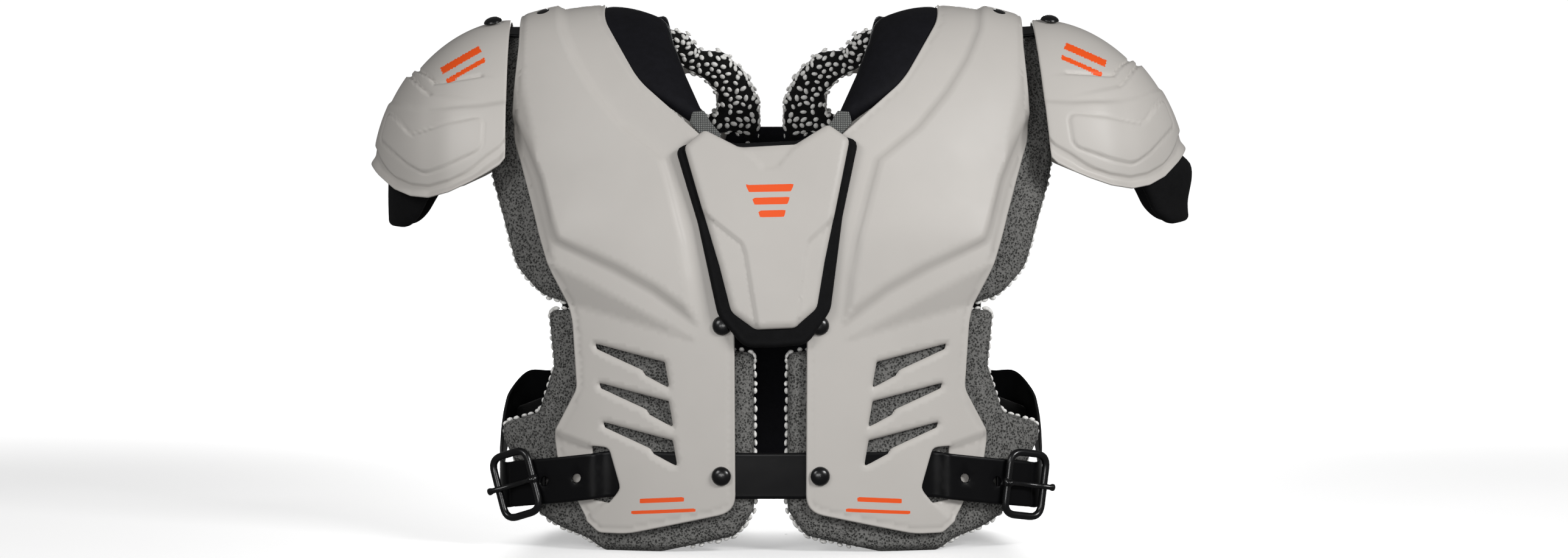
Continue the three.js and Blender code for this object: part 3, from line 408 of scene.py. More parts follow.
def tube(path, radii, sides, up, closed=False):
    """A round bar along a path, which is a ring where it's closed and has flat ends where it isn't."""
    path = np.array(path, float)
    t = unit(np.roll(path, -1, 0) - np.roll(path, 1, 0) if closed else np.gradient(path, axis=0))
    s = unit(np.cross(t, up))
    w = np.cross(s, t)
    ang = np.arange(sides) / sides * 2 * np.pi
    radii = np.broadcast_to(np.asarray(radii, float), (len(path),))
    v = (path[:, None] + radii[:, None, None] * (np.cos(ang)[None, :, None] * s[:, None]
                                                 + np.sin(ang)[None, :, None] * w[:, None])).reshape(-1, 3)
    f = grid_faces(len(path), sides, closed=True, ends=closed)
    if not closed:
        k = len(v)
        v = np.concatenate([v, path[:1], path[-1:]])
        j = np.arange(sides)
        f = np.concatenate([
            f, np.stack([np.full(sides, k), (j + 1) % sides, j], 1),
            np.stack([np.full(sides, k + 1), k - sides + j, k - sides + (j + 1) % sides], 1)])
    f = f[:, ::-1]
    return v, f, np.zeros(len(f), int)


def lathe(at, axis, profile, sides=28):
    """profile: (radius, height) rows from the axis to the axis."""
    axis = unit(np.array(axis, float))
    s = unit(np.cross(axis, (0.3, 0.9, 0.1)))
    w = np.cross(axis, s)
    ang = np.arange(sides) / sides * 2 * np.pi
    rows = []
    for r, h in profile:
        rows.append(at + axis * h + max(r, 1e-3) * (np.cos(ang)[:, None] * s + np.sin(ang)[:, None] * w))
    v = np.concatenate(rows)
    f = grid_faces(len(profile), sides, closed=True)
    return v, f, np.zeros(len(f), int)


# Materials

def shader(name, colour, rough, **sockets):
    m = bpy.data.materials.new(name)
    m.use_nodes = True
    nt = m.node_tree
    b = nt.nodes["Principled BSDF"]
    b.inputs["Base Color"].default_value = (*colour, 1)
    b.inputs["Roughness"].default_value = rough
    for k, v in sockets.items():
        b.inputs[k.replace("_", " ")].default_value = v
    return m, nt, b, nt.nodes.new("ShaderNodeTexCoord").outputs["Object"]


def node(nt, kind, **props):
    n = nt.nodes.new(kind)
    for k, v in props.items():
        name = k.replace("_", " ")
        if name in n.inputs:
            n.inputs[name].default_value = v
        else:
            setattr(n, k, v)
    return n


def noise(nt, vec, scale, detail=3.0, rough=0.5, distort=0.0):
    n = node(nt, "ShaderNodeTexNoise", Scale=scale, Detail=detail, Roughness=rough, Distortion=distort)
    nt.links.new(vec, n.inputs["Vector"])
    return n.outputs["Fac"]


def tint(nt, b, fac, stops):
    """The base colour from a value, through colours at given places."""
    n = nt.nodes.new("ShaderNodeValToRGB")
    e = n.color_ramp.elements
    while len(e) < len(stops):
        e.new(0.5)
    for s, (pos, col) in zip(e, stops):
        s.position = pos
        s.color = (*col, 1) if len(col) == 3 else col
    nt.links.new(fac, n.inputs["Fac"])
    nt.links.new(n.outputs["Color"], b.inputs["Base Color"])


def rough_noise(nt, b, c, scale, detail, low_, high_):
    """Roughness that wanders between two values."""
    r = node(nt, "ShaderNodeMapRange", To_Min=low_, To_Max=high_)
    nt.links.new(noise(nt, c, scale, detail, 0.6), r.inputs["Value"])
    nt.links.new(r.outputs["Result"], b.inputs["Roughness"])


def bump(nt, b, height, strength, distance, chain=None):
    n = node(nt, "ShaderNodeBump", Strength=strength, Distance=distance)
    nt.links.new(height, n.inputs["Height"])
    if chain is not None:
        nt.links.new(chain, n.inputs["Normal"])
    nt.links.new(n.outputs["Normal"], b.inputs["Normal"])
    return n.outputs["Normal"]


def math_node(nt, op, a, b):
    n = node(nt, "ShaderNodeMath", operation=op)
    nt.links.new(a, n.inputs[0])
    if isinstance(b, float):
        n.inputs[1].default_value = b
    else:
        nt.links.new(b, n.inputs[1])
    return n.outputs[0]


def weighted(nt, *terms):
    total = None
    for value, weight in terms:
        part = math_node(nt, "MULTIPLY", value, weight)
        total = part if total is None else math_node(nt, "ADD", total, part)
    return total


def make_plastic(name, colour, rough=0.46):
    m, nt, b, c = shader(name, colour, rough, Specular_IOR_Level=0.38, Coat_Weight=0.04, Coat_Roughness=0.35)
    big = noise(nt, c, 9, 4, 0.55)
    light = tuple(min(1, x * 1.035) for x in colour)
    dark = tuple(x * 0.955 for x in colour)
    tint(nt, b, big, [(0.3, dark), (0.7, light)])
    rough_noise(nt, b, c, 60, 5, rough - 0.05, rough + 0.09)
    bump(nt, b, noise(nt, c, 1400, 2, 0.6), 0.10, 0.0002)
    return m


def make_heather(name, dark, light):
    m, nt, b, c = shader(name, dark, 0.92, Sheen_Weight=0.06, Sheen_Roughness=0.5, Specular_IOR_Level=0.2)
    v = node(nt, "ShaderNodeTexVoronoi", Scale=620)
    nt.links.new(c, v.inputs["Vector"])
    flecks = noise(nt, c, 1150, 4, 0.7)
    patches = noise(nt, c, 120, 4, 0.6)
    mix = weighted(nt, (flecks, 0.6), (patches, 0.12), (v.outputs["Distance"], 0.32))
    mid = tuple((x + y) / 2 for x, y in zip(dark, light))
    tint(nt, b, mix, [(0.42, dark), (0.5, mid), (0.58, light)])
    h = weighted(nt, (v.outputs["Distance"], -1.0), (flecks, 0.5))
    bump(nt, b, h, 0.7, 0.0006)
    return m


def make_cloth(name, colour, rough, cell=1500, sheen=0.005, strength=0.35):
    m, nt, b, c = shader(name, colour, rough, Sheen_Weight=sheen, Sheen_Roughness=0.45, Specular_IOR_Level=0.16)
    light = tuple(min(1, x * 1.6) for x in colour)
    tint(nt, b, noise(nt, c, 180, 5, 0.65), [(0.35, colour), (0.75, light)])
    v = node(nt, "ShaderNodeTexVoronoi", Scale=cell)
    nt.links.new(c, v.inputs["Vector"])
    n1 = bump(nt, b, v.outputs["Distance"], strength, 0.0003)
    bump(nt, b, noise(nt, c, 28, 3, 0.5), 0.25, 0.004, n1)
    return m


def make_weave(name, dark, light):
    m, nt, b, c = shader(name, dark, 0.9, Sheen_Weight=0.2)
    scale = 2 * math.pi / 20 / 0.0013    # threads 1.3 mm apart
    waves = []
    for axis in ("X", "Z"):
        w = node(nt, "ShaderNodeTexWave", Scale=scale, Distortion=0.6)
        w.bands_direction = axis
        nt.links.new(c, w.inputs["Vector"])
        waves.append(w.outputs["Fac"])
    h = math_node(nt, "MULTIPLY", waves[0], waves[1])
    tint(nt, b, h, [(0.05, dark), (0.6, light)])
    bump(nt, b, h, 0.8, 0.0005)
    return m


def make_vinyl(name):
    m, nt, b, c = shader(name, (0.004, 0.004, 0.0045), 0.34, Specular_IOR_Level=0.15, Coat_Weight=0.03,
                      Coat_Roughness=0.2)
    rough_noise(nt, b, c, 45, 5, 0.24, 0.4)
    n1 = bump(nt, b, noise(nt, c, 2200, 2, 0.6), 0.12, 0.0002)
    bump(nt, b, noise(nt, c, 30, 2, 0.5), 0.1, 0.002, n1)
    return m


def make_enamel(name):
    m, nt, b, c = shader(name, (0.004, 0.004, 0.0045), 0.2, Specular_IOR_Level=0.45, Coat_Weight=0.2,
                      Coat_Roughness=0.1)
    rough_noise(nt, b, c, 160, 4, 0.18, 0.36)
    bump(nt, b, noise(nt, c, 500, 2, 0.5), 0.06, 0.0002)
    return m


def make_beads(name):
    m, nt, b, c = shader(name, (0.9, 0.89, 0.86), 0.4, Specular_IOR_Level=0.4)
    tint(nt, b, noise(nt, c, 420, 3, 0.6), [(0.34, (0.74, 0.73, 0.70)), (0.46, (0.95, 0.94, 0.91))])
    bump(nt, b, noise(nt, c, 1300, 2, 0.5), 0.15, 0.0003)
    return m


PLASTIC = make_plastic("moulded_plastic", (0.575, 0.548, 0.515))
ACCENT = make_plastic("accent_print", (0.95, 0.10, 0.008), 0.48)
HEATHER = make_heather("heather_knit", (0.018, 0.018, 0.017), (0.2, 0.198, 0.19))
BLACK = make_cloth("black_cloth", (0.0042, 0.0042, 0.006), 0.75)
FOAM = make_cloth("black_foam_cloth", (0.004, 0.004, 0.0044), 0.85, cell=900)
NET = make_cloth("black_net", (0.006, 0.006, 0.006), 0.9, cell=1100, sheen=0.1, strength=0.6)
TAPE = make_weave("grey_tape", (0.045, 0.047, 0.045), (0.30, 0.31, 0.30))
VINYL = make_vinyl("belt_vinyl")
ENAMEL = make_enamel("black_enamel")
BEADS = make_beads("foam_beads")

# Outline tables: across as a share of HALF, up as a share of HEIGHT, corner radius in millimetres.
ARCH_OUT = [(0.556, 0.033, 60), (0.667, 0.034, 6), (0.717, 0.055, 2), (0.833, 0.163, 14), (0.85, 0.21, 14),
    (0.753, 0.297, 14), (0.772, 0.433, 60), (0.85, 0.52, 60), (1.028, 0.756, 40), (0.992, 0.919, 40),
    (0.992, 1.05, 0)]
ARCH_FRONT = [(0.658, 1.05, 0), (0.658, 0.974, 25), (0.517, 0.861, 60), (0.261, 0.756, 5),
    (0.139, 0.394, 20), (0.136, 0.076, 15)] + ARCH_OUT
ARCH_BACK = [(0.658, 1.05, 0), (0.658, 0.974, 25), (0.489, 0.937, 30), (0.322, 0.917, 8), (0.189, 0.896, 12),
    (0.105, 0.855, 14), (0.07, 0.819, 8), (0.08, 0.394, 20), (0.136, 0.076, 15)] + ARCH_OUT
WINDOW = [(0.367, 0.877, 6), (0.278, 0.863, 8), (0.231, 0.842, 8), (0.225, 0.803, 5), (0.261, 0.787, 6),
    (0.322, 0.819, 10)]
COLLAR_BACK = [(0.433, 0.95, 8), (0.333, 0.937, 6), (0.289, 0.908, 6), (0.189, 0.907, 12),
    (0.094, 0.861, 14), (0.052, 0.819, 8), (0.049, 0.727, 4), (0.111, 0.727, 4), (0.144, 0.761, 6),
    (0.267, 0.751, 5), (0.289, 0.777, 5), (0.222, 0.798, 6), (0.217, 0.829, 8), (0.267, 0.861, 8),
    (0.367, 0.887, 8), (0.467, 0.919, 5)]
BODY_OUT = [(0.79, 0.452, 20), (0.889, 0.465, 20), (0.989, 0.515, 30), (1.094, 0.688, 60), (1.105, 0.81, 40),
    (1.08, 1.05, 0)]
BODY_FRONT = [(0.714, 1.05, 0), (0.714, 0.969, 25), (0.575, 0.842, 60), (0.36, 0.745, 8), (0.2, 0.472, 8),
    (0.2, 0.452, 4)] + BODY_OUT
BODY_BACK = [(0.714, 1.05, 0), (0.714, 0.965, 25), (0.56, 0.87, 30), (0.367, 0.777, 12), (0.311, 0.714, 8),
    (0.22, 0.688, 8), (0.22, 0.452, 4)] + BODY_OUT
RIB_OUT = [(0.861, 0.438, 6), (0.839, 0.336, 12), (0.9, 0.249, 6), (1.042, 0.226, 5), (1.042, 0.199, 8),
    (0.9, 0.063, 12), (0.822, 0.041, 10), (0.706, 0.021, 6), (0.644, 0.0, 4), (0.422, 0.0, 20)]
RIB_FRONT = [(0.067, 0.365, 6), (0.222, 0.37, 5), (0.256, 0.438, 5)] + RIB_OUT
RIB_FRONT += [(0.133, 0.031, 12), (0.064, 0.079, 10)]
RIB_BACK = [(0.22, 0.438, 5)] + RIB_OUT + [(0.22, 0.02, 10)]
NECK_FRONT = [(0.43, 1.05, 0), (0.385, 0.95, 30), (0.336, 0.883, 20), (0.262, 0.802, 3), (0.302, 0.787, 3),
    (0.555, 0.852, 60), (0.7, 0.972, 25), (0.7, 1.05, 0)]
NECK_BACK = [(0.43, 1.05, 0), (0.42, 0.985, 10), (0.4, 0.962, 5), (0.62, 0.972, 10), (0.7, 0.985, 10),
    (0.7, 1.05, 0)]
TAB = [(0.26, 0.808, 1), (0.236, 0.788, 1), (0.2, 0.768, 1), (0.185, 0.748, 1), (0.262, 0.757, 1),
    (0.318, 0.786, 1), (0.306, 0.806, 1)]
SPINE = [(-0.19, 0.765, 12), (-0.19, 0.09, 12), (0.19, 0.09, 12), (0.19, 0.765, 12)]
STERNUM_PAD_HALF = [(0, 0.743, 0), (0.115, 0.743, 4), (0.225, 0.757, 6), (0.351, 0.739, 6),
    (0.276, 0.604, 40), (0.215, 0.438, 18), (0.12, 0.378, 14), (0, 0.376, 0)]
PLATE_HALF = [(0, 0.734, 0), (0.108, 0.734, 4), (0.235, 0.767, 5), (0.315, 0.739, 5), (0.2, 0.525, 60),
    (0.163, 0.442, 10), (0.075, 0.409, 6), (0, 0.409, 0)]


def under(line, side, offset):
    """Points on the wall whose layer at this depth is seen at the given places."""
    if not offset:
        return line
    at = line.copy()
    for _ in range(12):
        z = np.clip(at[:, 1], 1, top(at[:, 0]) - 0.02)
        y = side * depth(at[:, 0]) * np.sqrt(np.clip(1 - (z / top(at[:, 0])) ** POWER, 0, 1))
        n = wall_normal(at[:, 0], y, z)
        at = line - n[:, [0, 2]] * offset
    return at


def flat_loop(corners, side, n=7, offset=0.0):
    line = under(dense(rounded(corners, n=n), 2.0), side, offset)
    return pattern(line[:, 0], line[:, 1], side)


def saddle_loop(front, back, offset=0.0):
    out = []
    for table, side in ((front, -1), (back, 1)):
        line = under(dense(rounded(mm(table), closed=False), 2.0, closed=False), side, offset)
        line = line[line[:, 1] < top(line[:, 0]) - 0.3]
        uv = pattern(line[:, 0], line[:, 1], side)
        out.append(uv if side < 0 else uv[::-1])
    return np.concatenate(out)


def tilted(half, degrees=2.5, centre=0.58 * HEIGHT):
    rows = mm(half)
    rows = rows + [(-x, z, r) for x, z, r in rows[1:-1][::-1]]
    c, s = math.cos(math.radians(degrees)), math.sin(math.radians(degrees))
    return [(x * c - (z - centre) * s, centre + x * s + (z - centre) * c, r) for x, z, r in rows]


# Body arches

VENTS = []
for i in range(3):
    x0, z0 = 0.393 * HALF - 2.8 * i, 0.301 * HEIGHT - 27.2 * i
    VENTS.append([(x0 + a * 52, z0 + b * 30, 1.4) for a, b in
                  ((1, 1), (0.06, 0.6), (0, 0), (0.32, 0.29), (0.36, 0.41), (0.975, 0.876))])
SLOT_IN = 0.627 * HALF
SLOT_OUT = SLOT_IN + 12
BUCKLE_Z, FRONT_Z, BUCKLE_X = 45.0, 54.0, 178.0
SAG = (FRONT_Z - BUCKLE_Z) / (BUCKLE_X - SLOT_IN)


def belt_z(x):
    return FRONT_Z - SAG * np.maximum(0, np.abs(x) - SLOT_IN)


slot_low, slot_high = belt_z(SLOT_OUT) - 18.5, FRONT_Z + 18.5
SLOT = [(SLOT_OUT, slot_high + 1, 1.5), (SLOT_IN, slot_high, 5),
        (SLOT_IN - 8, slot_low + (slot_high - slot_low) * 0.28, 5), (SLOT_IN, slot_low, 2.5),
        (SLOT_OUT, slot_low + 2, 1.5)]

PANEL = [(147, 377), (144.9, 362.7), (135.7, 342.3), (121.4, 320), (101.2, 295.7), (80.6, 279.3), (72.7, 273),
         (66.5, 250.7), (58.4, 220), (52.2, 191.7), (48.8, 163.4), (48.6, 158), (52, 158.5), (81.6, 180.2),
         (106.7, 194), (139.9, 210), (147.8, 214.2), (154.1, 232.4), (162.1, 256.8), (180.6, 293.6), (205, 320)]
panel_front = [(x, z, 5) for x, z in PANEL]
front_line = dense(rounded(panel_front, closed=False, n=4), 2.0, closed=False)
front_line = front_line[front_line[:, 1] < top(front_line[:, 0]) - 0.3]
panel_f = pattern(front_line[:, 0], front_line[:, 1], -1)
panel_b = panel_f[::-1] * (1, -1)
panel_b[:, 1] *= 0.9
PANEL_LOOP = thin(dense(np.concatenate([panel_f, panel_b]), 2.0), 1.6)
BRIDGE = flat_loop([(165, 87, 2)] + [(x, z, 3) for x, z in (
    (152.6, 83.3), (122, 73), (115, 71), (111.5, 67.3), (105, 43.7), (106.7, 39.5), (115.7, 32.5), (128, 20.7),
    (140, 10), (190, 20), (190, 87))], -1)
FACET_TIP = pattern(np.array([50.7]), np.array([146.9]), -1)[0]
FACET_LOW = pattern(np.array([50.7, 141.0]), np.array([146.9, 172.0]), -1)
FACET_HIGH = pattern(np.array([50.7, 152.0]), np.array([146.9, 199.5]), -1)
SIDE_LINE = pattern(np.array([175.5, 174.7, 173.5, 162, 150]), np.array([375.0, 355, 322, 270, 235]), -1)
BACK_PANEL = flat_loop([(44, 262, 6), (60, 292, 10), (96, 318, 20), (104, 300, 10), (86, 250, 10),
                        (74, 205, 10), (66, 175, 8), (40, 160, 8)], 1)
BACK_LOW = flat_loop([(40, 140, 6), (66, 150, 8), (112, 150, 8), (118, 120, 8), (112, 74, 6), (92, 40, 8),
                      (44, 44, 8)], 1)
vent_loops = [flat_loop(v, -1, n=4) for v in VENTS]
ACCENT_BARS = [flat_loop(b, -1, n=3) for b in (
    [(60, 39.4, .6), (91, 37.6, .6), (91, 34.4, .6), (60, 36.2, .6)],
    [(52, 31.6, .6), (97, 29, .6), (97, 26.6, .6), (52, 29.2, .6)])]


def arch_relief(uv):
    d = signed(uv, PANEL_LOOP)
    p, _ = lift_wall(uv)
    z, y = p[:, 2], p[:, 1]
    width = 4.8 + 2.6 * step01((222 - z) / 26) * (y < 0)
    h = 3.6 * bevel(d / width)
    run = unit(FACET_LOW[1] - FACET_TIP)
    rise = FACET_HIGH[1] - FACET_TIP
    spread = abs(run[0] * rise[1] - run[1] * rise[0]) / (rise @ run)
    q = uv - FACET_TIP
    along = np.maximum(q @ run, 0.01)
    above = (q[:, 0] * run[1] - q[:, 1] * run[0]) * np.sign(rise[0] * run[1] - rise[1] * run[0])
    facet = 0.34 * spread * np.minimum(along, 110) * np.clip(above / (spread * along), 0, 1)
    h = h + facet * (y < 0) * (1 - step01((z - 212) / 70))
    # The outer flank falls away beyond a soft line
    order = np.argsort(SIDE_LINE[:, 1])
    side_u = np.interp(uv[:, 1], SIDE_LINE[order, 1], SIDE_LINE[order, 0])
    h = h - 0.34 * np.clip(uv[:, 0] - side_u, 0, 16) * (uv[:, 1] < 40)
    h = h - 2.2 * bevel(signed(uv, BRIDGE) / 2.6)
    return h + 2.2 * step01(signed(uv, BACK_PANEL) / 5) + 1.8 * step01(signed(uv, BACK_LOW) / 5)


def curves_of(loop, offsets):
    loop = thin(dense(loop, 1.6), 1.3)
    out = []
    for d in offsets:
        q = loop if d == 0 else ring(loop, d)
        if d:
            q = q[np.abs(dist(q, [loop]) - abs(d)) < 0.08 * abs(d) + 0.02]
        out.append(q)
    return np.concatenate(out)


ARCH_STEP = 2.8
arch_loops = [saddle_loop(ARCH_FRONT, ARCH_BACK)] + vent_loops
arch_loops += [flat_loop(SLOT, -1), flat_loop(mm(WINDOW), 1)]
arch_curves = [curves_of(PANEL_LOOP, (0, 2.4, 4.8, 7.4)), dense(FACET_HIGH, 1.5, False),
               curves_of(BRIDGE, (0, 3)), dense(FACET_LOW, 1.5, False), dense(SIDE_LINE, 2, False),
               curves_of(BACK_PANEL, (0, 5)), curves_of(BACK_LOW, (0, 5))]
arch_curves += [curves_of(v, (2.6,)) for v in vent_loops] + [curves_of(b, (0,)) for b in ACCENT_BARS]


def painted(bars):
    return lambda points: np.any([within(points, b) for b in bars], 0)


def arch_chamfer(uv, d):
    vents = 1.5 * (1 - np.clip(dist(uv, vent_loops) / 2.6, 0, 1))
    return -vents - 0.7 * np.exp(-((dist(uv, arch_loops[:1]) - 2.6) / 0.7) ** 2)


arch = slab(arch_loops, lift_wall, -SHELL / 2, SHELL / 2, SHELL / 2, ARCH_STEP, rings=[0.18, 0.62, 1.25, 2.6],
            relief=arch_relief, outer=arch_chamfer, curves=arch_curves, paint=painted(ACCENT_BARS))
pairs(("arch", arch, [PLASTIC, PLASTIC, ACCENT], "moulded_plastic", "body_arch"))


# Beads

# One bead: three rings of eight points, a top, and a smaller ring below
_ball = [(math.cos(phi) * math.cos(a), math.cos(phi) * math.sin(a), math.sin(phi))
         for i, phi in enumerate((0.0, 0.62, 1.2)) for a in (np.arange(8) + 0.5 * (i % 2)) / 8 * 2 * math.pi]
_ball.append((0, 0, 1))
_ball += [(math.cos(a) * 0.62, math.sin(a) * 0.62, -0.6) for a in (np.arange(8) / 8 * 2 * np.pi)]
BALL_V = np.array(_ball)
_f = []
for j in range(8):
    k = (j + 1) % 8
    _f += [(j, k, 8 + j), (k, 8 + k, 8 + j), (8 + j, 8 + k, 16 + k), (8 + j, 16 + k, 16 + j),
           (16 + j, 16 + k, 24), (j, 25 + j, k), (k, 25 + j, 25 + k)]
_f += [(25, 25 + j + 1, 25 + j) for j in range(1, 7)]
BALL_F = np.array(_f)


def beads(points, normals, size, jitter):
    """Oval beads that sit on the given points. Normals point out of the cloth."""
    n = unit(normals)
    a = unit(np.cross(n, (0.13, 0.31, 0.94)))
    b = np.cross(n, a)
    turn = RNG.uniform(0, np.pi, len(n))[:, None]
    s, t = a * np.cos(turn) + b * np.sin(turn), -a * np.sin(turn) + b * np.cos(turn)
    k = 1 + RNG.uniform(-jitter, jitter, (len(n), 3))
    v = points[:, None] + sum(BALL_V[None, :, i:i + 1] * axis[:, None] * size[i] * k[:, None, i:i + 1]
                              for i, axis in enumerate((s, t, n)))
    v = v.reshape(-1, 3)
    f = (BALL_F[None] + (np.arange(len(n)) * len(BALL_V))[:, None, None]).reshape(-1, 3)
    return v, f, np.zeros(len(f), int)


def outward(line, loops):
    """For each point of a closed line, the unit direction in the pattern that leaves the loops."""
    t = np.roll(line, -1, 0) - np.roll(line, 1, 0)
    o = unit(np.stack([t[:, 1], -t[:, 0]], 1))
    o[inside(line + o * 2, loops)] *= -1
    return o


def bead_field(loops, widest, pitch=6.7):
    """Beads over the inner face of a pad and along its edge, up to a distance from the centre."""
    lo, hi = loops[0].min(0), loops[0].max(0)
    g = staggered(np.arange(lo[0], hi[0], pitch), np.arange(lo[1], hi[1], pitch * 0.9), pitch)
    g = g + RNG.uniform(-0.9, 0.9, g.shape)
    g = g[inside(g, loops)]
    d = dist(g, loops)
    p, n = lift_wall(g[d > 3.4])
    sets = [(p + n * (PAD_IN + 0.7), -n)]
    for loop in loops:
        line = thin(dense(loop, 1.0), 5.4)
        q = line + RNG.uniform(-0.5, 0.5, line.shape)
        p, n = lift_wall(q)
        out = lift_wall(q + outward(q, loops) * 0.5)[0] - p
        out /= np.maximum(np.linalg.norm(out, axis=1, keepdims=True), 1e-6)
        sets.append((p + out * 0.7 + n * (PAD_IN + 4.2), out * 2 - n * 0.5))
    pts, nrm = (np.concatenate([s[i] for s in sets]) for i in range(2))
    ok = (pts[:, 2] > 3) & (pts[:, 0] < widest)
    return beads(pts[ok], nrm[ok], (3.0, 2.1, 1.6), 0.2)


# Pads

def soft(scale, amount, seed):
    """Slow waves over a cloth face, for a look that isn't machined."""
    ph = np.random.default_rng(seed).uniform(0, 6.28, 6)

    def wave(uv, d):
        u, v = uv[:, 0] / scale, uv[:, 1] / scale
        w = (np.sin(u + ph[0]) * np.cos(v * 0.8 + ph[1]) + 0.6 * np.sin(1.7 * u - 1.3 * v + ph[2])
             + 0.4 * np.cos(2.6 * u + 2.1 * v + ph[3])) / 2
        return amount * w * step01(d / 8)
    return wave


PAD_MID = (PAD_OUT + PAD_IN) / 2
PADS = {
    "body_pad": ([saddle_loop(BODY_FRONT, BODY_BACK, PAD_MID)], 5.6),
    "rib_pad_front": ([flat_loop(mm(RIB_FRONT), -1, offset=PAD_MID)], 5.2),
    "rib_pad_back": ([flat_loop(mm(RIB_BACK), 1, offset=PAD_MID)], 5.2),
}
PAD_STEP = 4.2
for k, (name, (loops, rim)) in enumerate(PADS.items()):
    wave_in = soft(24, 0.7, 11 + k)
    data = slab(loops, lift_wall, PAD_MID, PAD / 2 - 0.3, rim, PAD_STEP, rings=[0.4, 1.4, 3.2, rim],
                inner=lambda uv, d, w=wave_in: w(uv, d) - 0.4, step=2.6)
    spots = bead_field(loops, 140 if name == "rib_pad_back" else 400)
    pairs((f"{name}_cloth", data, [HEATHER, NET], "pad_fabric", name, 0.7),
          (f"{name}_beads", spots, [BEADS], "bead_foam"))

neck_loops = [saddle_loop(NECK_FRONT, NECK_BACK, BELT_OUT - 5)]
NECK_EDGE = neck_loops[0][np.argsort(neck_loops[0][:, 1])]
NECK_EDGE = NECK_EDGE[NECK_EDGE[:, 0] < np.interp(NECK_EDGE[:, 1], [-200, -120, -60, 0, 60, 200],
                                                  [46, 62, 88, 100, 96, 96])]


def neck_roll(uv):
    line = NECK_EDGE[::4]
    near = to_segments(uv, line[:-1], line[1:])
    return 1.5 - 11.5 * np.clip(1 - near / 27, 0, 1) ** 2 * step01((uv[:, 1] + 190) / 90)


neck = slab(neck_loops, lift_wall, BELT_OUT - NECK / 2, NECK / 2 - 0.2, 7.5, 3.0, rings=[0.4, 1.5, 3.6, 7.5],
            inner=soft(17, 0.9, 3), relief=neck_roll)
collar_loops = [flat_loop(mm(COLLAR_BACK), 1, offset=BELT_OUT - COLLAR / 2)]
collar = slab(collar_loops, lift_wall, BELT_OUT - COLLAR / 2, COLLAR / 2 - 1.6, 7.5, 2.2,
              rings=[0.5, 1.8, 3.8, 6.2])


def scatter(loops, gap, count):
    lo, hi = loops[0].min(0), loops[0].max(0)
    g = lo + RNG.random((count, 2)) * (hi - lo)
    return sparse(g[inside(g, loops)], gap)


def collar_spots():
    sets = []
    rim, half, mid = 7.5, COLLAR / 2 - 1.6, BELT_OUT - COLLAR / 2
    for sign in (-1, 1):
        q = scatter(collar_loops, 5.15, 9000)
        dq = np.minimum(dist(q, collar_loops), rim)
        rr = quarter(dq, rim)
        p, n = lift_wall(q)
        e = 0.6
        slope = half * (1 - dq / rim) / rim / np.maximum(rr, 0.12)
        lean = 0
        for way in ((e, 0), (0, e)):
            rise = (np.minimum(dist(q + way, collar_loops), rim) - dq) / e
            lean = lean + (lift_wall(q + way)[0] - p) / e * rise[:, None]
        nn = n * sign - lean * slope[:, None]
        sets.append((p + n * (mid + sign * (half * rr - 0.1))[:, None], nn))
    line = thin(dense(collar_loops[0], 1.0), 5.4)
    p, n = lift_wall(line)
    out = lift_wall(line + outward(line, collar_loops) * 0.5)[0] - p
    for level in (-4.5, 0.0, 4.5):
        keep = np.arange(len(line)) % 2 == (0 if level else 1)
        sets.append(((p + n * (mid + level) - out * 0.3)[keep], (out * 2 + n * level * 0.12)[keep]))
    return beads(*(np.concatenate([s[i] for s in sets]) for i in range(2)), (2.6, 1.75, 1.15), 0.15)


collar_beads = collar_spots()
tab = slab([flat_loop(mm(TAB), -1, n=3)], lift_wall, BELT_OUT - 1.5, 1.3, 1.0, 1.4, rings=[0.3, 1.0], step=1.2)
pairs(("neck_cushion", neck, [BLACK], "black_fabric", "neck_pad", 0.7),
      ("collar_liner", collar, [NET], "bead_foam", "collar_pad", 0.8),
      ("collar_beads", collar_beads, [BEADS], "bead_foam"),
      ("neck_tape", tab, [TAPE], "grey_webbing", "neck_tab"))

spine_loop = [flat_loop(mm(SPINE), 1, offset=PAD_MID)]
spine = slab(spine_loop, lift_wall, PAD_MID, PAD / 2 - 0.3, 5, 4.5, rings=[0.4, 1.4, 3, 5],
             inner=soft(26, 0.6, 5), step=2.6)
piece("spine_cushion", spine, [BLACK], ["spine_pad"])

# Breastbone pad and plate
pad_loop = [flat_loop(tilted(STERNUM_PAD_HALF), -1)]
breast_pad = slab(pad_loop, lift_wall, GAP + STERNUM_PAD / 2, STERNUM_PAD / 2, 3.2, 2.6,
                  rings=[0.3, 1.0, 2.0, 3.2], outer=lambda uv, d: -0.9 * np.exp(-((d - 4.6) / 0.8) ** 2),
                  curves=[curves_of(pad_loop[0], (3.8, 4.6, 5.4))])
piece("breast_cushion", breast_pad, [FOAM], ["sternum_pad"])

plate_loop = flat_loop(tilted(PLATE_HALF), -1)
LEFT_FACET = flat_loop([(-70, 256, 1), (-35, 227.3, 2), (-18.5, 214.3, 3), (-16, 207.3, 3), (-9, 163.7, 1),
                        (-7, 150, 1), (-70, 150, 1)], -1)
RIGHT_FACET = flat_loop([(75, 256, 1), (40.5, 230.2, 2), (24.6, 215.5, 3), (22.2, 204.9, 3), (18.1, 164.2, 1),
                         (17, 150, 1), (75, 150, 1)], -1)
V_FACET = flat_loop([(-24, 281, 1), (-5.2, 262, 2), (4.8, 263, 2), (21, 281, 1)], -1)
PLATE_BARS = [flat_loop([(x - w, z + 2.1, .8), (x + w, z + 2.1 + 0.05 * w, .8), (x + w * 0.86, z - 2.1, .8),
                         (x - w * 0.86, z - 2.1 - 0.03 * w, .8)], -1, n=3)
              for x, z, w in ((-0.5, 250.5, 16.5), (0.2, 242, 13.0), (0.9, 233.5, 9.5))]


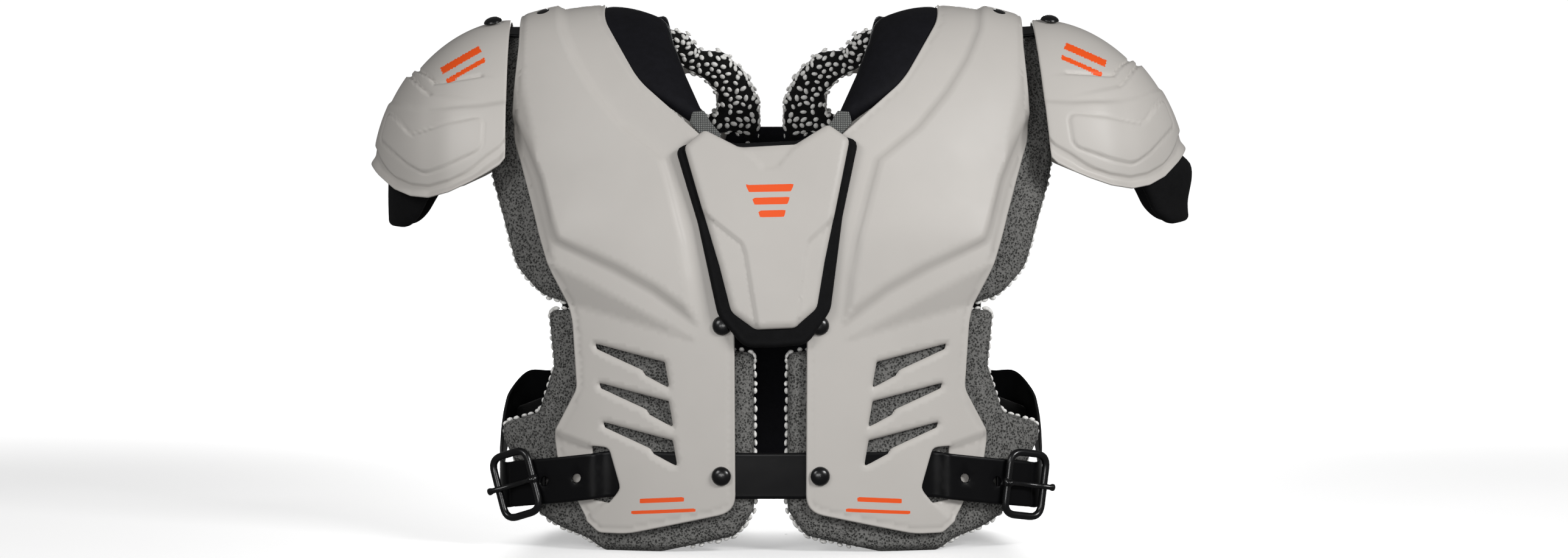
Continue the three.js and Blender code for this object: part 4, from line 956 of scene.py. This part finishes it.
def plate_relief(uv):
    h = -1.9 * (1 - bevel(dist(uv, [plate_loop]) / 3.8))
    h = h - 1.6 * bevel(signed(uv, LEFT_FACET) / 1.8) - 1.6 * bevel(signed(uv, RIGHT_FACET) / 1.8)
    return h - 1.5 * step01(signed(uv, V_FACET) / 3)


plate_curves = [curves_of(plate_loop, (3.6,)), curves_of(LEFT_FACET, (0, 1.8)),
                curves_of(RIGHT_FACET, (0, 1.8))] + [curves_of(b, (0,)) for b in [V_FACET] + PLATE_BARS]
plate_mid = 2 * GAP + STERNUM_PAD + STERNUM_PLATE / 2 + 0.6
plate = slab([plate_loop], lift_wall, plate_mid, STERNUM_PLATE / 2, 1.3, 1.9, relief=plate_relief,
             paint=painted(PLATE_BARS), curves=plate_curves)
piece("breast_plate", plate, [PLASTIC, PLASTIC, ACCENT], ["sternum_plate"])

# Shoulder caps

RIM, REACH, CAP_D, RISE, CAP_TOP, CAP_P = 186.0, 97.0, 82.0, 110.0, 372.0, 1.85
CAP_Z = CAP_TOP - RISE
TILT = {"left": 6.0, "right": 0.0}
EDGE_OUT = np.array([0.0, 0.04, 0.12, 0.25, 0.4, 0.55, 0.68, 0.8, 0.92, 1.0])
EDGE_UP = np.array([0.10, 0.055, 0.01, -0.055, -0.12, -0.158, -0.15, -0.11, -0.03, 0.035])


def cap_tilt(p, degrees):
    a = math.radians(degrees)
    q = p - (RIM, 0, CAP_TOP)
    c, s = math.cos(a), math.sin(a)
    return np.stack([q[:, 0] * c - q[:, 2] * s, q[:, 1], q[:, 0] * s + q[:, 2] * c], 1) + (RIM, 0, CAP_TOP)


def cap_surface(t, g):
    """t is -1 at the front rim and 1 at the back rim. g is 1 at the top, and under 0 down the skirt."""
    pw = 2 / CAP_P
    r = np.clip(g, 0, 1) * np.pi / 2
    ringr = np.clip(np.cos(r), 0, 1) ** pw
    o = np.clip(np.cos(t * np.pi / 2), 0, 1) ** pw * ringr
    s = np.sign(t) * np.abs(np.sin(t * np.pi / 2)) ** pw * ringr
    up = np.clip(np.sin(r), 0, 1) ** pw
    p = np.stack([RIM + REACH * o, CAP_D * s, CAP_Z + RISE * up + 100 * np.minimum(g, 0)], 1)
    k = CAP_P - 1
    n = np.stack([o ** k / REACH, np.sign(s) * np.abs(s) ** k / CAP_D, up ** k / RISE], 1)
    return p, unit(n)


CAP_LINES = (
    ((150, 331.5), (205.5, 331.4), (233, 326.3), (239, 325.8), (243, 330.0), (248, 333), (256, 335.5),
     (330, 345)),
    ((150, 312), (241, 317), (246, 320.5), (250, 324), (256, 328.5), (262, 331), (330, 336)),
    ((150, 313), (187, 312.3), (205, 309), (226, 305.5), (240, 304.5), (252, 305.5), (262, 308), (330, 312)))
CAP_PANEL = dense(rounded([
    (270, 303, 3), (262, 297.4, 5), (252, 287, 8), (226.7, 295.5, 30), (201.5, 301.5, 5), (202.4, 279, 10),
    (228.5, 266.4, 30), (242, 262, 10), (254, 268, 14), (275, 284, 4)]), 2)
CAP_BARS = [np.array(b, float) for b in (
    [(208, 353), (236, 337), (233.5, 332.6), (205.5, 348.6)],
    [(203.5, 344.4), (231.5, 328.6), (229.9, 325.8), (201.9, 341.6)])]


def cap_relief(p, d_low):
    x, z = p[:, 0], p[:, 2]
    below = [np.interp(x, [a for a, _ in line], [b for _, b in line]) - z for line in CAP_LINES]
    h = 1.6 * step01((below[0] + 0.4) / 2.4) * step01((x - 186) / 44)
    h = h - 1.4 * np.exp(-(below[0] / 1.1) ** 2) * step01((x - 202) / 4)
    h = h + 1.5 * step01((below[1] + 0.4) / 2.4) * step01((x - 200) / 52)
    h = h - 1.3 * np.exp(-(below[1] / 1.1) ** 2) * step01((x - 238) / 5)
    wide = 5.6 - 2 * step01((x - 200) / 24)
    h = h + (1.9 - 0.9 * step01((x - 222) / 20)) * step01((below[2] + 2.8) / wide)
    q = p[:, [0, 2]]
    sd = signed(q, CAP_PANEL)
    h = h + 0.8 * step01((sd + 0.5) / 1.4) - 0.5 * np.exp(-((sd + 0.9) / 0.8) ** 2)
    h = h - 1.3 * step01((12.0 - d_low) / 2.2) + 2.2 * step01((6.5 - d_low) / 6.0)
    return 1.3 * h - 2.2


def cap_mesh():
    n = 210
    cols = np.concatenate([[-1, -1 + 4e-4, -1 + 2e-3], np.linspace(-1 + 6e-3, 1 - 6e-3, n),
                           [1 - 2e-3, 1 - 4e-4, 1]])
    m = 118
    rows = np.concatenate([[0, 0.0013, 0.005, 0.010], np.linspace(0.018, 1, m)])
    t, w = np.meshgrid(cols, rows)
    t, w = t.ravel(), w.ravel()
    o = np.clip(np.cos(t * np.pi / 2), 0, 1) ** (2 / CAP_P)
    up = np.interp(o, EDGE_OUT, EDGE_UP)
    g0 = np.where(up < 0, up * RISE / 100, np.arcsin(np.clip(up, 0, 1) ** (CAP_P / 2)) / (np.pi / 2))
    g = g0 + (1 - g0) * w
    p, nrm = cap_surface(t, g)
    low = w * (1 - g0) * 128
    d = np.minimum(p[:, 0] - RIM, low)
    half = SHELL / 2
    edge = (np.abs(t) >= 1 - 1e-9) | (w <= 0) | (w >= 1 - 1e-9)
    rnd = np.where(edge, 0, quarter(d, half))
    mid = cap_relief(p, low) - half
    f = grid_faces(len(rows), len(cols))
    bars = painted(CAP_BARS)
    v, faces, kinds, area_ = sheet(p, nrm, mid + half * rnd, mid - half * rnd, f, edge,
                                   lambda q: bars(q[:, [0, 2]]) & (q[:, 1] < 0), p)
    ok = np.concatenate([area_ > 1e-9] * 2)
    return v, faces[ok], kinds[ok]


v, f, k = cap_mesh()
for side in SIDES:
    on_side(side, "cap_shell", (cap_tilt(v, TILT[side]), f, k), [PLASTIC, PLASTIC, ACCENT], "moulded_plastic",
            "shoulder_cap")

# Arm flaps, in a pattern of depth and height
FLAP_OUT, FLAP_T = -SHELL - BELT - 2 * GAP - 2.6, 8.6


def flap_lift(splay):
    def lift(yz):
        y, z = yz[:, 0], yz[:, 1]
        s = np.minimum(np.abs(y) / CAP_D, 0.999)
        up = np.clip((z - CAP_Z) / RISE, 0, 1)
        left = np.clip(1 - s ** CAP_P - up ** CAP_P, 0.01, 1)
        o = left ** (1 / CAP_P)
        k = CAP_P - 1
        n = unit(np.stack([o ** k / REACH, np.sign(y) * s ** k / CAP_D, up ** k / RISE], 1))
        down = np.clip(275 - z, 0, 60)
        out = splay * (step01(down / 22) - 0.35 * step01((down - 24) / 26)) * o
        p = np.stack([RIM + REACH * o + out, y, z], 1)
        return p, n
    return lift


def flap_loop(longer):
    pts = []
    for y, z in rounded([(70.5, 300, 0), (70.5, 262, 20), (61, 250, 30), (46, 226, 34), (-46, 226, 34),
                         (-61, 250, 30), (-70.5, 262, 20), (-70.5, 300, 0)], closed=False, n=12):
        pts.append((y, z if z > 262 else 262 - (262 - z) * longer))
    lim = 1 - 0.2 ** CAP_P
    for y in np.linspace(-70.5, 70.5, 50):
        up = max(0.0, lim - (abs(y) / CAP_D) ** CAP_P) ** (1 / CAP_P)
        pts.append((y, CAP_Z + RISE * up))
    return dense(np.array(pts), 2.2)


for side in SIDES:
    splay = 15.0 if side == "left" else 0.0
    v, f, k = slab([flap_loop(1.3 if side == "left" else 1.1)], flap_lift(splay), FLAP_OUT - FLAP_T / 2,
                   FLAP_T / 2, 4.2, 3.6, rings=[0.35, 1.2, 2.6, 4.2], outer=soft(15, 0.5, 9),
                   inner=soft(19, 0.7, 10), step=2.4)
    on_side(side, "flap", (cap_tilt(v, TILT[side]), f, k), [FOAM], "black_fabric", "arm_flap", 0.5)


# Belts: ribbons through stations of low edge, high edge and normal

def ribbon_lift(low_, high_, normal_, length):
    def lift(lw):
        a, b, n = (np.stack([np.interp(lw[:, 0], length, rows[:, i]) for i in range(3)], 1)
                   for rows in (low_, high_, normal_))
        t = (lw[:, 1] / BELT_W + 0.5)[:, None]
        return a + (b - a) * t, unit(n)
    return lift


def smooth_stations(stations, per=14):
    """Catmull-Rom curves through a belt's stations: low edge, high edge, normal, length so far."""
    def cr(p):
        q = np.concatenate([[2 * p[0] - p[1]], p, [2 * p[-1] - p[-2]]])
        out = []
        for i in range(1, len(q) - 2):
            for t in np.arange(per) / per:
                a, b, c, d = q[i - 1], q[i], q[i + 1], q[i + 2]
                out.append(0.5 * (2 * b + (c - a) * t + (2 * a - 5 * b + 4 * c - d) * t * t
                                  + (3 * b - a - 3 * c + d) * t ** 3))
        out.append(p[-1])
        return np.array(out)
    lo, hi, no = (cr(np.array([s[i] for s in stations])) for i in range(3))
    mid = (lo + hi) / 2
    length = np.concatenate([[0], np.cumsum(np.linalg.norm(np.diff(mid, axis=0), axis=1))])
    return lo, hi, no, length


def circle(x, y, r):
    a = np.arange(20) / 20 * 2 * np.pi
    return np.stack([x + r * np.cos(a), y + r * np.sin(a)], 1)


def belt_mesh(stations, holes_at):
    """A belt with a pressed line along each edge, and a hole at each distance from both its ends."""
    lo, hi, no, length = smooth_stations(stations)
    end, half = length[-1], BELT_W / 2
    outline = dense(rounded([(0, -half, 3), (end, -half, 3), (end, half, 3), (0, half, 3)]), 3)
    loops = [outline] + [circle(x, 0.0, 3.2) for at in holes_at for x in (at, end - at)]
    along = np.arange(2, end, 2.5)

    def outer(uv, d):
        return -0.22 * np.exp(-((half - np.abs(uv[:, 1]) - 3.0) / 0.5) ** 2)
    return slab(loops, ribbon_lift(lo, hi, no, length), 0, BELT / 2, 1.0, 5.0, rings=[0.25, 1.0], outer=outer,
                step=2.6, curves=[np.stack([along, np.full(len(along), s * (half - e))], 1)
                                  for s in (-1, 1) for e in (2.4, 3.0, 3.6)])


def station(x, z, side, offset):
    ends = under(np.array([[x, max(z - BELT_W / 2, 1.5)], [x, z + BELT_W / 2]]), side, offset)
    a, b = (wall_at(u, w, side, offset)[0] for u, w in ends)
    return a, b, wall_at(x, z, side)[1]


def both_sides(stations):
    return [tuple(q * (-1, 1, 1) for q in s) for s in stations[:0:-1]] + stations


fb = []
for x in list(np.arange(0, SLOT_IN - 4, 9)) + [SLOT_IN - 1]:
    fb.append(station(x, FRONT_Z, -1, BELT_MID))
for t in (0.33, 0.66, 1.0):
    x = SLOT_IN + 12 * t
    fb.append(station(x, float(belt_z(x)), -1, BELT_MID + (BELT_ABOVE - BELT_MID) * float(step01(t))))
for x in np.linspace(SLOT_OUT + 7, BUCKLE_X + 5, 7):
    fb.append(station(x, float(belt_z(x)), -1, BELT_ABOVE))
fb = both_sides(fb)
piece("waist_belt_front", belt_mesh(fb, (28.5, 53.5)), [VINYL], ["front_belt"])

REAR_Z, REAR_DROP = 104.0, 8.0
rb = []
for x in np.arange(0, 180.1, 15):
    rb.append(station(x, REAR_Z - REAR_DROP * (min(x / HALF, 0.75) / 0.75) ** 2, 1, BELT_MID))
for past, deep, rise in ((11, .45, .66), (13, .22, .5), (13, -.02, .33), (12, -.25, .19), (10.5, -.47, .07)):
    z = BUCKLE_Z + (REAR_Z - BUCKLE_Z) * rise
    c = np.array([HALF + past, deep * DEPTH, z])
    rb.append((c - (0, 0, 16), c + (0, 0, 16), unit(np.array([1, deep * 0.9, 0]))))
for x in np.linspace(1.04 * HALF, 0.875 * HALF, 4):
    rb.append(station(x, float(belt_z(x)), -1, BELT_ABOVE - BELT - GAP))
rb = both_sides(rb)
piece("waist_belt_rear", belt_mesh(rb, (14,)), [VINYL], ["rear_belt"])

# Cap straps

def cap_under(out, y, offset):
    s = abs(y) / CAP_D
    ringr = (out ** CAP_P + s ** CAP_P) ** (1 / CAP_P)
    t = np.sign(y) * 2 / np.pi * math.atan((s / out) ** (CAP_P / 2))
    g = 2 / np.pi * math.acos(min(1, ringr ** (CAP_P / 2)))
    p, n = cap_surface(np.array([t]), np.array([g]))
    return (p + n * offset)[0]


STRAP_MID = -SHELL - GAP - 1.2 - BELT / 2
RIV_Y, RIV_X = -12.0, 0.9 * HALF
for side in SIDES:
    st = []
    for share in (0.82, 0.86, 0.9, 0.95, 0.995):
        x = share * HALF
        a, b = (crown_at(x, RIV_Y + dy, STRAP_MID)[0] for dy in (-10, 10))
        st.append((a, b, crown_at(x, RIV_Y)[1]))
    for out in (0.14, 0.18, 0.22, 0.26, 0.3):
        a, b, far, near = (cap_tilt(cap_under(out + do, RIV_Y + dy, STRAP_MID - 1.0)[None], TILT[side])[0]
                           for do, dy in ((0, -10), (0, 10), (0.02, 0), (-0.02, 0)))
        n = unit(np.cross(b - a, near - far))
        st.append((a, b, n if n[2] > 0 else -n))
    lo, hi, no, length = smooth_stations(st, per=5)
    outline = dense(rounded([(0, -16, 5), (length[-1], -16, 5), (length[-1], 16, 5), (0, 16, 5)]), 2.4)
    strap = slab([outline], ribbon_lift(lo, hi, no, length), 0, BELT / 2, 1.0, 4.0, rings=[0.3, 1.0], step=2.4)
    on_side(side, "hinge_strap", strap, [VINYL], "belt_vinyl", "cap_strap")

# Rivets
DOME = [(0, -3.0), (2.3, -3.0), (2.3, 0.0), (6.3, 0.0), (6.75, 0.35), (6.6, 1.0), (5.9, 2.0), (4.6, 2.9),
        (3.0, 3.45), (1.4, 3.7), (0, 3.75)]
for side in SIDES:
    spots = {
        "belt_rivet": wall_at(0.19 * HALF, FRONT_Z, -1),
        "sternum_rivet": wall_at(0.187 * HALF, 0.415 * HEIGHT, -1),
        "back_rivet": wall_at(0.2 * HALF, REAR_Z, 1), "shoulder_rivet": crown_at(RIV_X, RIV_Y),
    }
    p, n = cap_surface(np.array([-0.5]), np.array([0.86]))
    at, below = (cap_tilt(q, TILT[side])[0] for q in (p, p - n))
    spots["cap_rivet"] = (at, at - below)
    for name, (at, n) in spots.items():
        n = unit(n)
        lift = -1.1 if name == "cap_rivet" else GAP + 0.3 * (name == "shoulder_rivet")
        on_side(side, f"dome_{name}", lathe(at + n * lift, n, DOME), [ENAMEL], "black_metal", name)

# Buckles
at, out = wall_at(BUCKLE_X - 2.5, BUCKLE_Z, -1)
out = unit(np.array([out[0], out[1], 0]))
UP = np.array([0.0, 0, 1])
ALONG = np.cross(UP, out)
ALONG = ALONG if ALONG[0] > 0 else -ALONG
LEAN = {"left": 8.0, "right": 17.0}
for side in SIDES:
    a = math.radians(LEAN[side])
    up = UP * math.cos(a) + ALONG * math.sin(a)
    al = ALONG * math.cos(a) - UP * math.sin(a)
    base = BELT_ABOVE + BELT / 2 + GAP + 0.1
    w = 5.0          # thickness of a 35 x 49 mm frame, whose bars' middle lines are 30 and 44 mm apart
    a, b = 15.0, 22.0
    line = thin(dense(rounded([(-a, -b, 9), (a, -b, 9), (a, b, 9), (-a, b, 9)], n=8), 2.0), 1.2)
    path = at + out * (base + w / 2 + 0.1) + line[:, :1] * al + line[:, 1:] * up
    bars = tube(path, 2.6, 16, out, closed=True)
    on_side(side, "buckle_frame", bars, [ENAMEL], "black_metal", "buckle")
    runs = np.array([-16.5, -14.9, -12.5, -6, 2, 8, 11.5, 14.5, 17, 19, 20.4, 21.2])
    lift = w * np.array([1.18, 1.32, 0.96, 0.55, 0.55, 0.8, 1.15, 1.42, 1.45, 1.42, 1.4, 1.4])
    rad = np.array([1.9, 2.1, 2.0, 1.9, 1.9, 1.9, 1.9, 1.9, 1.9, 2.5, 2.5, 1.3])
    path = at + out * (base + lift[:, None]) + runs[:, None] * al
    prong = tube(path, rad, 12, up)
    loop = tube([at + out * (base + w / 2) - al * 15.0 + up * z for z in (-2.8, 0, 2.8)], 3.4, 16, out)
    on_side(side, "buckle_prong", join([prong, loop]), [ENAMEL], "black_metal", "buckle_tongue")

# Floor, light, camera

def stage_material():
    m, nt, b, c = shader("studio_floor", (0.93, 0.93, 0.93), 0.7, Emission_Color=(1, 1, 1, 1))
    tint(nt, b, noise(nt, c, 3, 3), [(0.3, (0.92, 0.92, 0.92)), (0.7, (0.94, 0.94, 0.94))])
    away = node(nt, "ShaderNodeVectorMath", operation="LENGTH")
    nt.links.new(c, away.inputs[0])
    glow = node(nt, "ShaderNodeMapRange", interpolation_type="SMOOTHSTEP", From_Min=0.7, From_Max=2.0,
                To_Min=0.38, To_Max=0.95)
    nt.links.new(away.outputs["Value"], glow.inputs["Value"])
    nt.links.new(glow.outputs["Result"], b.inputs["Emission Strength"])
    return m


# A wide bowl, flat for ten metres, so that the camera stays inside it from every side
bowl = [(0.001, 0.0), (1.0, 0.0), (3.0, 0.0), (10.0, 0.0)]
bowl += [(10.0 + 3 * math.sin(a), 3 - 3 * math.cos(a)) for a in np.linspace(0.2, math.pi / 2, 8)]
bowl += [(13.0, 9.0)]
turn = np.arange(48) / 48 * 2 * np.pi
fv = np.concatenate([np.stack([r * np.cos(turn), r * np.sin(turn), np.full(48, h)], 1) for r, h in bowl])
mesh = bpy.data.meshes.new("studio_floor")
mesh.from_pydata(fv.tolist(), [], grid_faces(len(bowl), 48, closed=True).tolist())
mesh.materials.append(stage_material())
for poly in mesh.polygons:
    poly.use_smooth = True
floor = put("studio_floor", mesh)
floor.visible_diffuse = False
floor.visible_glossy = False


def area(name, at_, target, size, power):
    d = bpy.data.lights.new(name, "AREA")
    d.shape = "RECTANGLE"
    d.size, d.size_y = size
    d.energy = power
    o = put(name, d)
    o.location = at_
    o.rotation_euler = (Vector(target) - Vector(at_)).to_track_quat("-Z", "Y").to_euler()
    o.visible_camera = False


area("key", (1.35, -1.35, 1.1), (0.05, 0, 0.2), (0.7, 0.5), 24)
area("front", (-0.2, -2.0, 0.3), (0, 0, 0.06), (1.0, 0.3), 8)
area("fill", (-1.1, -1.5, 1.05), (0, 0, 0.2), (0.7, 0.6), 10)
area("back", (0.0, 2.3, 0.6), (0, 0.1, 0.2), (0.6, 0.4), 30)
bpy.context.scene.view_settings.view_transform = "Standard"
world = bpy.data.worlds.new("studio")
world.use_nodes = True
bg = world.node_tree.nodes["Background"]
bg.inputs["Color"].default_value = (1, 1, 1, 1)
bg.inputs["Strength"].default_value = 0.12
bpy.context.scene.world = world

cam = bpy.data.cameras.new("camera")
cam.sensor_fit = "HORIZONTAL"
cam.sensor_width = 36
AWAY, ELEVATION = 3.0, math.radians(3.0)
PHOTO_PX, MM_PER_PX = 2576, 0.42
aim = Vector((CX / 1000 + 0.0092, (CY - DEPTH) / 1000, 0.1907))
camera = put("camera", cam)
camera.location = aim + Vector((0, -AWAY * math.cos(ELEVATION), AWAY * math.sin(ELEVATION)))
camera.rotation_euler = (aim - camera.location).to_track_quat("-Z", "Y").to_euler()
cam.lens = cam.sensor_width * AWAY / (PHOTO_PX * MM_PER_PX / 1000)
cam.clip_end = 50
bpy.context.scene.camera = camera

bpy.context.view_layer.update()
